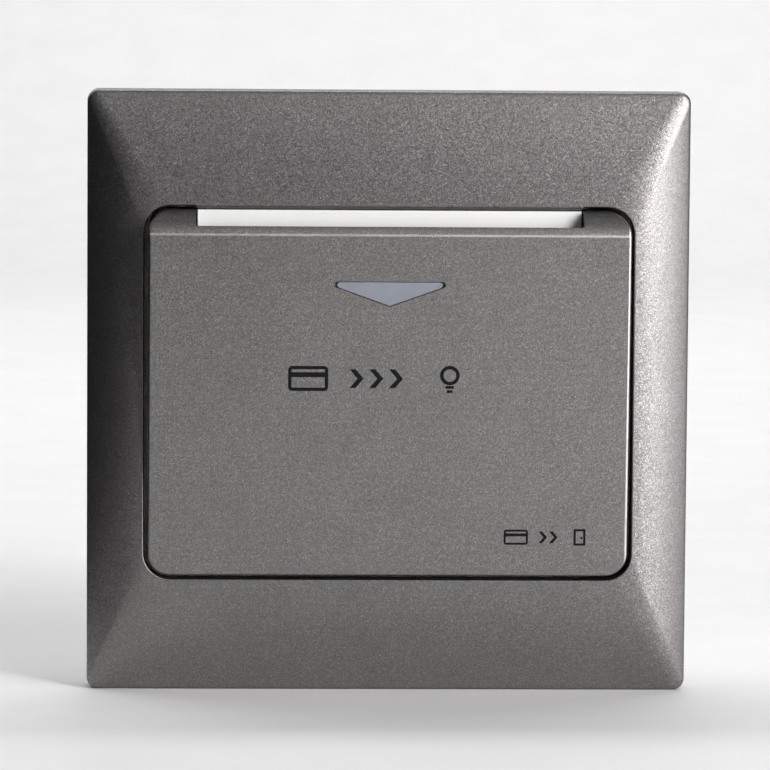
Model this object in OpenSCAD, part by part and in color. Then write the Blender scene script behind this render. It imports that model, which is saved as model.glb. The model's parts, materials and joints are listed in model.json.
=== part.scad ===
// Hotel key card switch for a square wall box.
// Millimetres. +Z is up, the front faces -Y and the wall is the plane y = 0.
// The origin lies midway between the two wall screws.

/* [Outer frame] */
// Width of the outer frame
frame_w = 86; // [84:0.5:92]
// Height of the outer frame
frame_h = 86; // [84:0.5:92]
// Corner radius of the outer frame, seen from the front
frame_r = 1.6; // [0.8:0.1:3]
// Depth of the frame's straight side walls
frame_side_d = 5.5; // [5:0.1:7]
// Rise of the curved border from the side walls to the opening
frame_crown = 3.5; // [2.5:0.1:4.5]
// Slope of the border where it meets the opening's left and right edges, in degrees
frame_lean = 7; // [3:0.5:12]
// Wall thickness of the frame
frame_wall = 2; // [1.4:0.1:2.2]
// Width of the frame's opening
opening_w = 69.7; // [68:0.1:72]
// Height of the frame's opening
opening_h = 53.4; // [52:0.1:58]
// Corner radius of the frame's opening
opening_r = 3.8; // [2:0.1:5]
// Depth of the collar that runs back from the opening's edge
collar_d = 4; // [3:0.1:5]
// Wall thickness of the collar
collar_wall = 1.4; // [1:0.1:2]
// Height of the lip that closes the gap over the card slot
lip_h = 0.45; // [0.2:0.05:0.5]
// Width of the pry notch in the bottom edge
pry_w = 9; // [6:0.5:14]
// Depth of the pry notch from the wall
pry_d = 1.6; // [1:0.1:2.2]

/* [Hood panel] */
// Gap between the hood panel and the frame's opening
panel_gap = 0.6; // [0.5:0.05:1]
// Wall thickness of the hood panel
hood_wall = 1.4; // [1.2:0.1:1.8]
// How far the hood's ridge stands proud of the frame's opening
hood_rise = 4; // [3:0.1:5]
// Distance from the hood's top edge down to its ridge
ridge_drop = 3.3; // [2.5:0.1:4.5]
// How far the hood's top edge stands proud of the frame's opening
top_proud = 0.4; // [0.2:0.1:1]
// Bow of the band between the ridge and the hood's top edge
band_bow = 0.65; // [0.2:0.05:0.8]
// Wall left in front of the card at the slot's mouth
mouth_wall = 0.65; // [0.5:0.05:1]
// Draft of the hood's side walls, in degrees
hood_draft = 2; // [1:0.5:6]
// Width of the arrow window
arrow_w = 15.8; // [12:0.1:20]
// Height of the arrow window
arrow_h = 3.6; // [3:0.1:5]
// Radius of the arrow's upper corners
arrow_r = 0.45; // [0.2:0.05:0.7]
// Distance from the ridge down to the arrow's upper edge
arrow_drop = 6.6; // [5:0.1:8]

/* [Card pocket] */
// Width of the card slot
slot_w = 55; // [54.5:0.1:57]
// Gap for the card, front to back
card_gap = 2.8; // [2.4:0.1:3.2]
// Wall thickness of the card guide
guide_wall = 1.5; // [1.2:0.1:1.8]
// Width of the guide's side rails
rail_w = 1.5; // [1:0.1:1.8]
// Thickness of the stop that the card lands on
stop_t = 1.5; // [1:0.1:2]

/* [Card lever] */
// Height of the lever's pin over the wall screws
pivot_z = 8; // [7:0.1:9]
// Distance of the pin behind the card guide
pivot_back = 2.6; // [2.5:0.1:3]
// Distance from the pin down to the nose
lever_arm = 13; // [12:0.1:15]
// Distance from the pin down to the pad that presses the switch
pad_arm = 9; // [8:0.1:10]
// How far the nose stands into the card pocket
nose_proud = 1.9; // [1.4:0.1:2.2]
// Radius of the nose
nose_r = 2; // [1.6:0.1:2.4]
// Width of the lever
lever_w = 6; // [5.6:0.1:8]
// Radius of the pin
pin_r = 1; // [0.8:0.05:1.2]
// Wire diameter of the torsion spring
spring_wire = 0.4; // [0.3:0.05:0.4]
// Turns of the torsion spring, with a quarter turn between its legs
spring_turns = 3; // [2:1:3]

/* [Base plate] */
// Thickness of the base plate
base_t = 2; // [1.8:0.1:2.2]
// Spacing of the two wall screws
screw_pitch = 60.3; // [60:0.1:61]
// Width of the wall screw slots
wall_slot_w = 4.4; // [4.2:0.1:5]
// Length of the wall screw slots, end to end
wall_slot_l = 7.4; // [6:0.1:7.5]

/* [Rear housing] */
// Width of the rear housing
housing_w = 52; // [51:0.25:53]
// Height of the rear housing
housing_h = 52; // [52:0.25:54]
// Depth of the rear housing behind the wall plane
housing_d = 30; // [29:0.5:36]
// Wall thickness of the rear housing
housing_wall = 1.8; // [1.4:0.1:2]
// Corner radius of the rear housing
housing_r = 3; // [1:0.1:4]
// Vent slots in the housing's top
vent_count = 7; // [3:1:9]
// Width of a vent slot
vent_w = 1.4; // [1:0.1:2]
// Shank radius of the housing screws
screw_r = 1.4; // [1.2:0.05:1.5]
// Head radius of the housing screws
screw_head_r = 2.6; // [2.4:0.1:2.7]
// Distance of the housing screws' heads behind the wall plane
screw_seat = 10; // [8:0.5:14]

/* [Circuit board] */
// Distance of the board's front face behind the wall plane
board_y = 7.2; // [7:0.1:8]
// Thickness of the board
board_t = 1.6; // [1.2:0.1:2]
// Height of the switch from the board
switch_h = 6.2; // [6:0.1:6.5]
// Length of the switch
switch_l = 12.8; // [11:0.1:14]
// Width of the switch
switch_w = 5.8; // [5:0.1:6.4]
// How far the switch plunger stands out
plunger_out = 1.85; // [1.8:0.05:2]
// Radius of the switch plunger
plunger_r = 0.8; // [0.6:0.05:1]
// Length of the relay
relay_l = 29; // [26:0.1:30]
// Width of the relay
relay_w = 12.7; // [11:0.1:13]
// Height of the relay
relay_h = 15.7; // [10:0.1:17]
// Length of the film capacitor
film_l = 18; // [13:0.1:18.5]
// Width of the film capacitor
film_w = 8.5; // [7:0.1:9]
// Height of the film capacitor
film_h = 15; // [10:0.1:17]
// Diameter of the can capacitor
can_d = 8; // [6.3:0.1:8.5]
// Height of the can capacitor
can_h = 12; // [9:0.1:16]
// Diameter of the varistor disc
varistor_d = 10; // [7:0.1:11]
// Thickness of the varistor disc
varistor_t = 4; // [3:0.1:5]
// Diameter of the fuse
fuse_d = 8.4; // [7:0.1:8.6]
// Height of the fuse
fuse_h = 8; // [7:0.1:10]
// Length of the bridge rectifier
bridge_l = 8.5; // [7:0.1:9]
// Width of the bridge rectifier
bridge_w = 6.5; // [5:0.1:7]
// Height of the bridge rectifier
bridge_h = 3.4; // [2.5:0.1:5]
// Diameter of the axial resistors
resistor_d = 3.2; // [2.4:0.1:3.4]
// Length of the axial resistors
resistor_l = 6.4; // [5:0.1:7]

/* [Terminals] */
// Ways of the terminal block
ways = 4; // [2:1:4]
// Height of the terminal block
block_h = 13.2; // [13:0.1:14]
// Radius of a wire entry
entry_r = 1.9; // [1.4:0.1:2.2]
// Radius of a clamp screw
clamp_screw_r = 1.5; // [1.2:0.1:1.6]

/* [Hidden] */
$fn = 64;

// Overrun of a cut past the face it opens, and the depth by which joined shapes share material
cut = 1;
merge = 0.4;

// Clearances between seated pieces, from the tightest
pin_hold = 0.02;
running = 0.05;
seat_gap = 0.15;
slip = 0.25;

// Frame and hood outlines
frame_d = frame_side_d + frame_crown;
panel_w = opening_w - 2 * panel_gap;
panel_h = opening_h - 2 * panel_gap;
panel_r = opening_r - panel_gap;
hood_top = panel_h / 2;
hood_bottom = -panel_h / 2;
hood_d = frame_d + hood_rise;
ridge_z = hood_top - ridge_drop;
lip_t = 1.5;

// The card pocket leans with the hood's face: planes parallel to the face are named by their
// distance behind it
tilt = atan(hood_rise / (ridge_z - hood_bottom));
pocket_t = hood_wall;
guide_t = pocket_t + card_gap;
back_t = guide_t + guide_wall;
function depth_y(z, t) = -frame_d - tan(tilt) * (z - hood_bottom) + t / cos(tilt);

// Sloping band over the ridge, with its inner wall a wall's thickness below
band_run = [frame_d + top_proud, hood_top] - [hood_d, ridge_z];
band_dir = [-band_run[0], band_run[1]] / norm(band_run);
band_in = [-hood_d, ridge_z] + hood_wall * [band_dir[1], -band_dir[0]];
inner_bottom = hood_bottom + hood_wall;
band_step = (depth_y(band_in[1], pocket_t) - band_in[0]) / (band_dir[0] + tan(tilt) * band_dir[1]);
inner_ridge = band_in + band_step * band_dir;

// Base plate, its catches and the catch ribs of frame and hood
base_gap = 0.4;
base_w = frame_w - 2 * frame_wall - 2 * base_gap;
base_h = frame_h - 2 * frame_wall - 2 * base_gap;
base_r = 1;
rim_t = 1.2;
rim_h = 1;
rim_inset = 1.2;
catch_out = 0.55;
catch_t = 0.6;
lug_t = 1.2;
frame_lug_h = 1.9;
frame_lug_l = 8;
frame_lug_x = 22;
hood_lug_h = 3;
hood_lug_l = 6;
hood_lug_z = 16;
rib_extra = 2;
window_w = 34;
window_r = 2;

// Housing, its corner columns and the four long screws
column_wall = 1.2;
screw_gap = 0.2;
column_r = screw_head_r + 2 * screw_gap + column_wall;
screw_head_h = 1.8;
boss_wall = 1.5;
boss_r = screw_r + boss_wall;
column_x = min(housing_w / 2 - column_r, panel_w / 2 - hood_wall - slip - boss_r);
column_z = min(housing_h / 2 - column_r, panel_h / 2 - hood_wall - slip - boss_r);
screw_tip = 4.4;
screw_end_y = -base_t - screw_tip;
boss_end_y = screw_end_y - running * 2 - merge * 2;

// Card guide outline and the light pipe's socket
neck_z = ridge_z - 1.2;
mouth_z = ridge_z + 0.35 * ridge_drop;
guide_foot_z = inner_bottom + 2 * slip;
guide_w = slot_w + 2 * rail_w;
pocket_floor_z = -column_z + boss_r + stop_t + seat_gap;
screw_access_r = 4.4;
arrow_top_z = ridge_z - arrow_drop;
arrow_mid_z = arrow_top_z - arrow_h / 2;
pipe_w = 12;
pipe_h = 3;
shoulder = 0.8;
shoulder_t = 1.2;
arrow_steps = 6;
lens_gap = 0.1;
lens_recess = 0.15;
lens_flange = 0.6;
lens_flange_t = 0.6;
press_rib_x = 14;
press_rib_w = 1.2;
press_rib_out = 1.2;

// Card lever: pin, nose and pad in the side view (y, z)
pivot = [depth_y(pivot_z, back_t) + pivot_back, pivot_z];
nose_z = pivot_z - lever_arm;
nose = [depth_y(nose_z, guide_t) - nose_proud + nose_r, nose_z];
hub_r = pin_r + 1.2;
hub_l = 2.8;
ear_r = hub_r + 0.2;
ear_t = 1.4;
lever_slit = 0.7;
ear_x = lever_w / 2 + lever_slit + 0.3;
sweep_room = 1.6;
pad_z = pivot_z - pad_arm;
pad_w = 4.4;
pad_h = 3.2;
wing_w = lever_w + 2 * lever_slit + 2.6;
wing_t = 1.4;
press_gap = 0.15;
switch_front_y = board_y - switch_h;
plunger_top_y = switch_front_y - plunger_out;
pad_y = plunger_top_y - press_gap;
plunger_in = 3;
plunger_travel = 1.6;
plunger_side = 3;

// Torsion spring: helix round the pin, one leg down the lever, one forward over a ledge
coil_r = pin_r + 0.8;
coil_pitch = spring_wire + 0.45;
coil_x = -lever_w / 2 + hub_l + 0.4 + spring_wire / 2;
coil_sides = 6;
coil_rings = 8;
spring_leg = 6;
ledge_w = 1;
ledge_h = 0.8;
ledge_l = 0.65;

// Board outline and the places of its parts, chained from the terminal block upwards
board_gap = 0.7;
board_back_y = board_y + board_t;
board_w = housing_w - 2 * housing_wall - 2 * board_gap;
board_h = housing_h - 2 * housing_wall - 2 * board_gap;
post_r = 2.4;
post_x = housing_w / 2 - housing_wall - post_r - board_gap;
board_screw_r = 0.95;
board_screw_head_r = 2;
board_screw_head_h = 1.5;
board_screw_l = 5;
lead_r = 0.4;
lead_gap = 0.1;
lead_tip = 1;
part_gap = 1.2;
led_size = [3.2, 1.3, 1.6];
led_x = 3;
led_gap = 0.3;
chip_size = [6, 1.5, 4];
chip_leg = [0.5, 0.3, 1];
chip_legs = 4;
block_flush = 0.3;
block_bottom = -housing_h / 2 + block_flush;
block_top = block_bottom + block_h;
block_back_y = housing_d - block_flush;
block_side_gap = 0.75;
block_end = 0.45;
block_w = 2 * (column_x - column_r - block_side_gap);
way_pitch = (block_w - 2 * block_end) / ways;

// The parts' sizes are stated for one housing height; a lower or taller housing takes parts to match
parts_for_h = 52;
row_scale = housing_h / parts_for_h;
row_gap = part_gap * row_scale;
relay_fit = relay_w * row_scale;
film_fit = film_w * row_scale;
can_fit = can_d * row_scale;
resistor_fit = resistor_l * row_scale;
fuse_fit = fuse_d * row_scale;
varistor_fit = varistor_t * row_scale;
bridge_fit = bridge_w * row_scale;
relay_z = block_top + row_gap + relay_fit / 2;
row_two = relay_z + relay_fit / 2 + row_gap;
film_x = part_gap - film_l / 2;
can_x = film_x + film_l / 2 + part_gap + can_fit / 2;
row_three = row_two + max(film_fit, can_fit, resistor_fit + 2 * row_gap) + row_gap;
fuse_x = part_gap * 2;
varistor_x = fuse_x - fuse_fit / 2 - part_gap - varistor_d / 2;
bridge_x = fuse_x + fuse_fit / 2 + part_gap + bridge_l / 2;
transistor_r = 2.3;
transistor_h = 4.6;
diode_d = 2.6;
diode_l = 5;
diode_reach = diode_l / 2 + part_gap / 2;
side_x = relay_l / 2 + 1.5 * part_gap + transistor_r;
transistor_z = relay_z - relay_fit / 2 + transistor_r;
diode_z = relay_z - relay_fit / 2 + diode_reach + lead_r;

// Lead places on the board (x, z)
relay_leads = [
    for (sx = [-1, 1], sz = [-1, 1]) [sx * (relay_l / 2 - 2), relay_z + sz * relay_fit * 0.3]
];
film_leads = [for (s = [-1, 1]) [film_x + s * (film_l / 2 - 1.5), row_two + film_fit / 2]];
can_leads = [for (s = [-1, 1]) [can_x + s * can_fit * 0.22, row_two + can_fit / 2]];
varistor_leads = [for (s = [-1, 1]) [varistor_x + s * varistor_d / 4, row_three + varistor_fit / 2]];
fuse_leads = [for (s = [-1, 1]) [fuse_x + s * fuse_fit * 0.3, row_three + fuse_fit / 2]];
bridge_leads = [for (i = [0:3]) [bridge_x + (i - 1.5) * bridge_l / 4, row_three + bridge_fit / 2]];
transistor_leads = [for (i = [-1:1]) [side_x + i * 1.27, transistor_z]];
axial_z = row_two + row_gap + resistor_fit / 2;
resistor_x = [
    for (i = [0, 1]) can_x + can_fit / 2 + part_gap + resistor_d / 2 + i * (resistor_d + part_gap)
];
resistor_leads = [for (x = resistor_x, s = [-1, 1]) [x, axial_z + s * (resistor_fit / 2 + part_gap / 2)]];
diode_leads = [for (s = [-1, 1]) [-side_x, diode_z + s * diode_reach]];
switch_leads = [for (i = [-1:1]) [-plunger_side + i * switch_l * 0.39, pad_z]];
all_leads = concat(relay_leads, film_leads, can_leads, varistor_leads, fuse_leads, bridge_leads,
    transistor_leads, resistor_leads, diode_leads, switch_leads);

// Terminal ways: cage, screw and entry of each
way_x = [for (i = [0:ways - 1]) (i - (ways - 1) / 2) * way_pitch];
cage_between = 2.4;
cage_w = way_pitch - cage_between;
cage_h = 7.6;
cage_wall = 1.2;
cage_gap = 0.2;
cage_pass = clamp_screw_r + cage_gap;
cage_z = block_bottom + 3.3 + cage_gap + cage_h / 2;
cage_back_y = block_back_y - 4.5;
cage_front_y = cage_back_y - 9.6;
entry_y = (cage_front_y + cage_back_y) / 2 - 0.6;
clamp_head_r = clamp_screw_r + 0.7;
clamp_head_h = 1.8;
clamp_head_y = cage_back_y + 1;
driver_slot = 0.6;
tail_r = 0.6;
tray_front_y = cage_front_y - part_gap;
chip_at = [
    block_w / 2 - chip_size[0] / 2,
    cage_z + tail_r + part_gap / 2 + chip_leg[2] + chip_size[2] / 2
];

// A flat outline in X and Z, carried along Y
module along_y(y0, y1) {
    translate([0, y1, 0])
        rotate([90, 0, 0])
            linear_extrude(y1 - y0)
                children();
}

// A side outline in Y and Z, carried along X
module along_x(x0, x1) {
    translate([x0, 0, 0])
        rotate([90, 0, 90])
            linear_extrude(x1 - x0)
                children();
}

// A plan outline in X and Y, carried along Z
module along_z(z0, z1) {
    translate([0, 0, z0])
        linear_extrude(z1 - z0)
            children();
}

module both_x() {
    children();
    mirror([1, 0, 0])
        children();
}

module both_z() {
    children();
    mirror([0, 0, 1])
        children();
}

module rounded_rect(w, h, r) {
    square([w - 2 * r, h], center = true);
    square([w, h - 2 * r], center = true);
    for (sx = [-1, 1], sz = [-1, 1])
        translate([sx * (w / 2 - r), sz * (h / 2 - r)])
            circle(r);
}

module slot_outline(l, w) {
    square([l - w, w], center = true);
    for (s = [-1, 1])
        translate([s * (l - w) / 2, 0])
            circle(w / 2);
}

// A block given by its low and high corners
module block(low, high) {
    translate(low)
        cube(high - low);
}

// A slab that lies parallel to the hood's face, between two depths and two heights
module leaning_slab(x0, x1, z0, z1, t0, t1) {
    along_x(x0, x1)
        polygon([
            [depth_y(z0, t0), z0], [depth_y(z1, t0), z1],
            [depth_y(z1, t1), z1], [depth_y(z0, t1), z0]
        ]);
}

// Local axes on the hood's face: x across, y up the face, z out of it
module on_face(z) {
    translate([0, depth_y(z, 0), z])
        rotate([90 + tilt, 0, 0])
            children();
}

// Cross-section of the pillow-shaped border: u across, v towards the front. Its arc leans at the
// opening's edge and goes on a little further in, where the opening's corners are rounded
module border_outline(span, gap, inset) {
    border = (span - gap) / 2;
    lean = atan(tan(frame_lean) * (frame_w - opening_w) / (span - gap));
    fall = 2 * atan(frame_crown / border) - lean;
    crown_r = border / (sin(fall) - sin(lean));
    centre_u = gap / 2 - crown_r * sin(lean);
    centre_v = frame_d - crown_r * cos(lean);
    run = span / 2 - centre_u - inset + merge;
    top = centre_v + crown_r - inset;
    translate([-centre_u, 0])
        square([2 * centre_u, top]);
    for (side = [0, 1])
        mirror([side, 0])
            intersection() {
                translate([centre_u - merge, 0])
                    square([run, top]);
                union() {
                    translate([centre_u, centre_v])
                        circle(crown_r - inset);
                    translate([centre_u - merge, 0])
                        square([run, max(centre_v, cut)]);
                }
            }
}

module pillow(inset) {
    intersection() {
        along_y(-frame_d - cut, 0)
            rounded_rect(frame_w - 2 * inset, frame_h - 2 * inset, max(frame_r - inset, merge));
        along_z(-frame_h / 2, frame_h / 2)
            mirror([0, 1])
                border_outline(frame_w, opening_w, inset);
        along_x(-frame_w / 2, frame_w / 2)
            rotate(90)
                border_outline(frame_h, opening_h, inset);
    }
}

module opening_outline(grow) {
    rounded_rect(opening_w + 2 * grow, opening_h + 2 * grow, opening_r + grow);
}

// Rib inside the frame's top and bottom walls that snaps behind a lug of the base plate
module frame_catch_rib() {
    z1 = frame_h / 2 - frame_wall;
    y0 = -base_t - frame_lug_h + catch_t + seat_gap;
    half = frame_lug_l / 2 + rib_extra / 2;
    block([frame_lug_x - half, y0, z1 - catch_out], [frame_lug_x + half, y0 + catch_t, z1 + merge]);
}

module outer_frame() {
    color("#77726f")
        difference() {
            union() {
                difference() {
                    pillow(0);
                    pillow(frame_wall);
                    along_y(-merge, cut)
                        rounded_rect(frame_w - 2 * frame_wall, frame_h - 2 * frame_wall, merge);
                    along_y(-frame_d - cut, cut)
                        opening_outline(0);
                }
                along_y(-frame_d + frame_wall - merge, -frame_d + collar_d)
                    difference() {
                        opening_outline(collar_wall);
                        opening_outline(0);
                    }
                block([-slot_w / 2, -frame_d, opening_h / 2 - lip_h],
                    [slot_w / 2, -frame_d + lip_t, opening_h / 2 + merge]);
                both_x()
                    both_z()
                        frame_catch_rib();
            }
            block([-pry_w / 2, -pry_d, -frame_h / 2 - cut],
                [pry_w / 2, cut, -frame_h / 2 + frame_wall + cut]);
        }
}

// Side view of the hood: leaning face, ridge and sloping band, at a depth behind the face.
// It runs past the hood's top and bottom, which the rounded outline trims
module hood_outline(t, ridge) {
    low = hood_bottom - cut;
    high = ridge + (hood_top + cut - ridge[1]) / band_dir[1] * band_dir;
    polygon([[2 * cut, low], [depth_y(low, t), low], ridge, high, [2 * cut, high[1]]]);
}

// The part of a circle that stands out from the band's chord, from the ridge to the top edge
module band_bow_outline() {
    half = norm(band_run) / 2;
    bow_r = (half * half + band_bow * band_bow) / (2 * band_bow);
    translate([-hood_d, ridge_z])
        rotate(atan2(band_dir[1], band_dir[0]))
            intersection() {
                translate([half, band_bow - bow_r])
                    circle(bow_r);
                translate([0, -merge])
                    square([2 * half, band_bow + cut]);
            }
}

// Plan view of the hood: side walls that draw in towards the front, from the frame's edge on
module hood_plan(inset) {
    half = panel_w / 2 - inset;
    front = half - (hood_rise + cut) * tan(hood_draft);
    rear = half + merge;
    rear_y = -frame_d + merge / tan(hood_draft);
    polygon([
        [-rear, rear_y], [-front, -hood_d - cut], [front, -hood_d - cut], [rear, rear_y],
        [rear, max(rear_y, 0) + 2 * cut], [-rear, max(rear_y, 0) + 2 * cut]
    ]);
}

// Arrow that points down: upper edge on y = 0, upper corners rounded
module arrow_outline() {
    corner = [arrow_w / 2 - arrow_r, -arrow_r];
    reach = [corner[0], corner[1] + arrow_h];
    first = atan2(reach[1], reach[0]) - asin(arrow_r / norm(reach)) - 90;
    turn = [for (i = [0:arrow_steps]) first + (90 - first) * i / arrow_steps];
    right = [for (a = turn) corner + arrow_r * [cos(a), sin(a)]];
    left = [for (i = [arrow_steps:-1:0]) [-right[i][0], right[i][1]]];
    polygon(concat([[0, -arrow_h]], right, left));
}

// The arrow grown or shrunk evenly about the point that is as far from all three edges
module arrow_scaled(growth) {
    edge_l = norm([arrow_w / 2, arrow_h]);
    middle = arrow_w * arrow_h / (arrow_w + 2 * edge_l);
    translate([0, -middle])
        scale(1 + growth / middle)
            translate([0, middle])
                arrow_outline();
}

// Rib inside the hood's side wall that snaps behind a lug of the base plate
module hood_catch_rib() {
    x1 = panel_w / 2 - hood_wall;
    y0 = -base_t - hood_lug_h + catch_t + seat_gap;
    half = hood_lug_l / 2 + rib_extra / 2;
    block([x1 - catch_out, y0, hood_lug_z - half], [x1 + merge, y0 + catch_t, hood_lug_z + half]);
}

// Rib that keeps the card close to the guide, with a sloping start for the card's edge
module press_rib() {
    z0 = pocket_floor_z + part_gap;
    z1 = arrow_top_z - arrow_h - part_gap;
    lead_in = 2 * press_rib_out;
    along_x(press_rib_x - press_rib_w / 2, press_rib_x + press_rib_w / 2)
        polygon([
            [depth_y(z0, pocket_t - merge), z0], [depth_y(z1, pocket_t - merge), z1],
            [depth_y(z1, pocket_t), z1], [depth_y(z1 - lead_in, pocket_t + press_rib_out), z1 - lead_in],
            [depth_y(z0, pocket_t + press_rib_out), z0]
        ]);
}

module hood_panel() {
    color("#7d7876")
        difference() {
            union() {
                difference() {
                    intersection() {
                        along_y(-hood_d - cut, -base_t)
                            rounded_rect(panel_w, panel_h, panel_r);
                        along_x(-panel_w, panel_w) {
                            hood_outline(0, [-hood_d, ridge_z]);
                            band_bow_outline();
                        }
                        along_z(-panel_h, panel_h)
                            hood_plan(0);
                    }
                    intersection() {
                        along_y(-hood_d - cut, cut)
                            rounded_rect(panel_w - 2 * hood_wall, panel_h - 2 * hood_wall,
                                max(panel_r - hood_wall, merge));
                        along_x(-panel_w, panel_w)
                            hood_outline(pocket_t, inner_ridge);
                        along_z(-panel_h, panel_h)
                            hood_plan(hood_wall);
                    }
                }
                both_x()
                    both_z()
                        hood_catch_rib();
                both_x()
                    press_rib();
            }
            along_x(-slot_w / 2, slot_w / 2)
                polygon([
                    [depth_y(neck_z, pocket_t), neck_z], [depth_y(mouth_z, mouth_wall), mouth_z],
                    [depth_y(hood_top + cut, mouth_wall), hood_top + cut],
                    [cut, hood_top + cut], [cut, neck_z]
                ]);
            on_face(arrow_top_z)
                translate([0, 0, -hood_wall - cut])
                    linear_extrude(hood_wall + 2 * cut)
                        arrow_outline();
            on_face(arrow_top_z)
                translate([0, 0, -hood_wall - cut])
                    linear_extrude(lens_flange_t + cut)
                        arrow_scaled(lens_flange);
        }
}

module arrow_lens() {
    color("#9aa0ad")
        on_face(arrow_top_z) {
            translate([0, 0, -hood_wall + lens_flange_t - merge])
                linear_extrude(hood_wall - lens_flange_t - lens_recess + merge)
                    arrow_scaled(-lens_gap);
            translate([0, 0, -hood_wall])
                linear_extrude(lens_flange_t)
                    arrow_scaled(lens_flange - lens_gap);
        }
}

// Post behind the guide that a housing screw bites into
module guide_boss(z, y_end) {
    translate([column_x, -base_t, z])
        rotate([90, 0, 0])
            cylinder(r = boss_r, h = -base_t - y_end);
}

module pivot_ear() {
    along_x(ear_x, ear_x + ear_t) {
        translate(pivot)
            circle(ear_r);
        polygon([
            [pivot[0], pivot_z - ear_r], [pivot[0], pivot_z + ear_r],
            [depth_y(pivot_z + ear_r, back_t - merge), pivot_z + ear_r],
            [depth_y(pivot_z - ear_r, back_t - merge), pivot_z - ear_r]
        ]);
    }
}

module guide_cuts() {
    // window that the lever swings in
    block([-lever_w / 2 - lever_slit, -hood_d, nose_z - nose_r - sweep_room],
        [lever_w / 2 + lever_slit, 0, pivot_z]);
    // socket of the light pipe
    block([-pipe_w / 2 - seat_gap, -hood_d, arrow_mid_z - pipe_h / 2 - seat_gap],
        [pipe_w / 2 + seat_gap, 0, arrow_mid_z + pipe_h / 2 + seat_gap]);
    // room for the heads of the wall screws
    both_x()
        translate([screw_pitch / 2, 0, 0])
            rotate([90, 0, 0])
                cylinder(r = screw_access_r, h = hood_d);
    // pilot bores of the housing screws
    for (sx = [-1, 1], sz = [-1, 1])
        translate([sx * column_x, -base_t + cut, sz * column_z])
            rotate([90, 0, 0])
                cylinder(r = screw_r + running, h = screw_tip + cut + 2 * running);
    // bore of the lever's pin
    translate([-ear_x - ear_t - cut, pivot[0], pivot_z])
        rotate([0, 90, 0])
            cylinder(r = pin_r + pin_hold, h = 2 * (ear_x + ear_t + cut));
}

module card_guide() {
    tongue = slot_w / 2 - slip;
    ledge_top = pivot_z + coil_r - spring_wire / 2 - lead_gap;
    ledge_x = coil_x + (spring_turns + 0.25) * coil_pitch;
    color("#f4f4f1")
        difference() {
            union() {
                leaning_slab(-guide_w / 2, guide_w / 2, guide_foot_z, neck_z, guide_t, back_t);
                leaning_slab(-tongue, tongue, neck_z - merge, hood_top, guide_t, back_t);
                leaning_slab(-guide_w / 2, guide_w / 2, pocket_floor_z - stop_t, pocket_floor_z,
                    pocket_t + seat_gap, back_t);
                both_x()
                    leaning_slab(slot_w / 2, guide_w / 2, pocket_floor_z - stop_t, neck_z,
                        pocket_t + seat_gap, back_t);
                both_x() {
                    guide_boss(column_z, depth_y(column_z, (guide_t + back_t) / 2));
                    guide_boss(-column_z, boss_end_y);
                    pivot_ear();
                }
                block([ledge_x - ledge_w / 2, depth_y(ledge_top, back_t - merge), ledge_top - ledge_h],
                    [ledge_x + ledge_w / 2, depth_y(ledge_top, back_t) + ledge_l, ledge_top]);
            }
            guide_cuts();
        }
}

// Snap lugs that stand on the base plate
module frame_lug() {
    z1 = frame_h / 2 - frame_wall - catch_out - seat_gap;
    y0 = -base_t - frame_lug_h;
    half = frame_lug_l / 2;
    block([frame_lug_x - half, y0, z1 - lug_t], [frame_lug_x + half, -base_t + merge, z1]);
    block([frame_lug_x - half, y0, z1 - merge], [frame_lug_x + half, y0 + catch_t, z1 + catch_out]);
}

module hood_lug() {
    x1 = panel_w / 2 - hood_wall - catch_out - seat_gap;
    y0 = -base_t - hood_lug_h;
    half = hood_lug_l / 2;
    block([x1 - lug_t, y0, hood_lug_z - half], [x1, -base_t + merge, hood_lug_z + half]);
    block([x1 - merge, y0, hood_lug_z - half], [x1 + catch_out, y0 + catch_t, hood_lug_z + half]);
}

module base_plate() {
    rim_w = base_w - 2 * rim_inset;
    rim_height = base_h - 2 * rim_inset;
    window_top = arrow_mid_z + pipe_h / 2 + shoulder + part_gap;
    window_bottom = nose_z - nose_r - sweep_room - part_gap;
    color("#ececea")
        difference() {
            union() {
                along_y(-base_t, 0)
                    rounded_rect(base_w, base_h, base_r);
                along_y(-base_t - rim_h, -base_t + merge)
                    difference() {
                        rounded_rect(rim_w, rim_height, base_r);
                        rounded_rect(rim_w - 2 * rim_t, rim_height - 2 * rim_t, base_r);
                    }
                both_x()
                    both_z() {
                        frame_lug();
                        hood_lug();
                    }
                both_x()
                    translate([post_x, board_y, 0])
                        rotate([90, 0, 0])
                            cylinder(r = post_r, h = board_y + merge);
            }
            along_y(-base_t - cut, cut) {
                translate([0, (window_top + window_bottom) / 2])
                    rounded_rect(window_w, window_top - window_bottom, window_r);
                for (s = [-1, 1])
                    translate([s * screw_pitch / 2, 0])
                        slot_outline(wall_slot_l, wall_slot_w);
                for (sx = [-1, 1], sz = [-1, 1])
                    translate([sx * column_x, sz * column_z])
                        circle(screw_r + screw_gap);
            }
            both_x()
                translate([post_x, board_y + cut, 0])
                    rotate([90, 0, 0])
                        cylinder(r = board_screw_r + running, h = board_screw_l + cut);
        }
}

// Side view of the lever's arm: a bar between hub and nose
module arm_outline() {
    along = (nose - pivot) / norm(nose - pivot);
    across = [-along[1], along[0]];
    polygon([pivot + hub_r * across, nose + nose_r * across, nose - nose_r * across, pivot - hub_r * across]);
    translate(nose)
        circle(nose_r);
}

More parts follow.
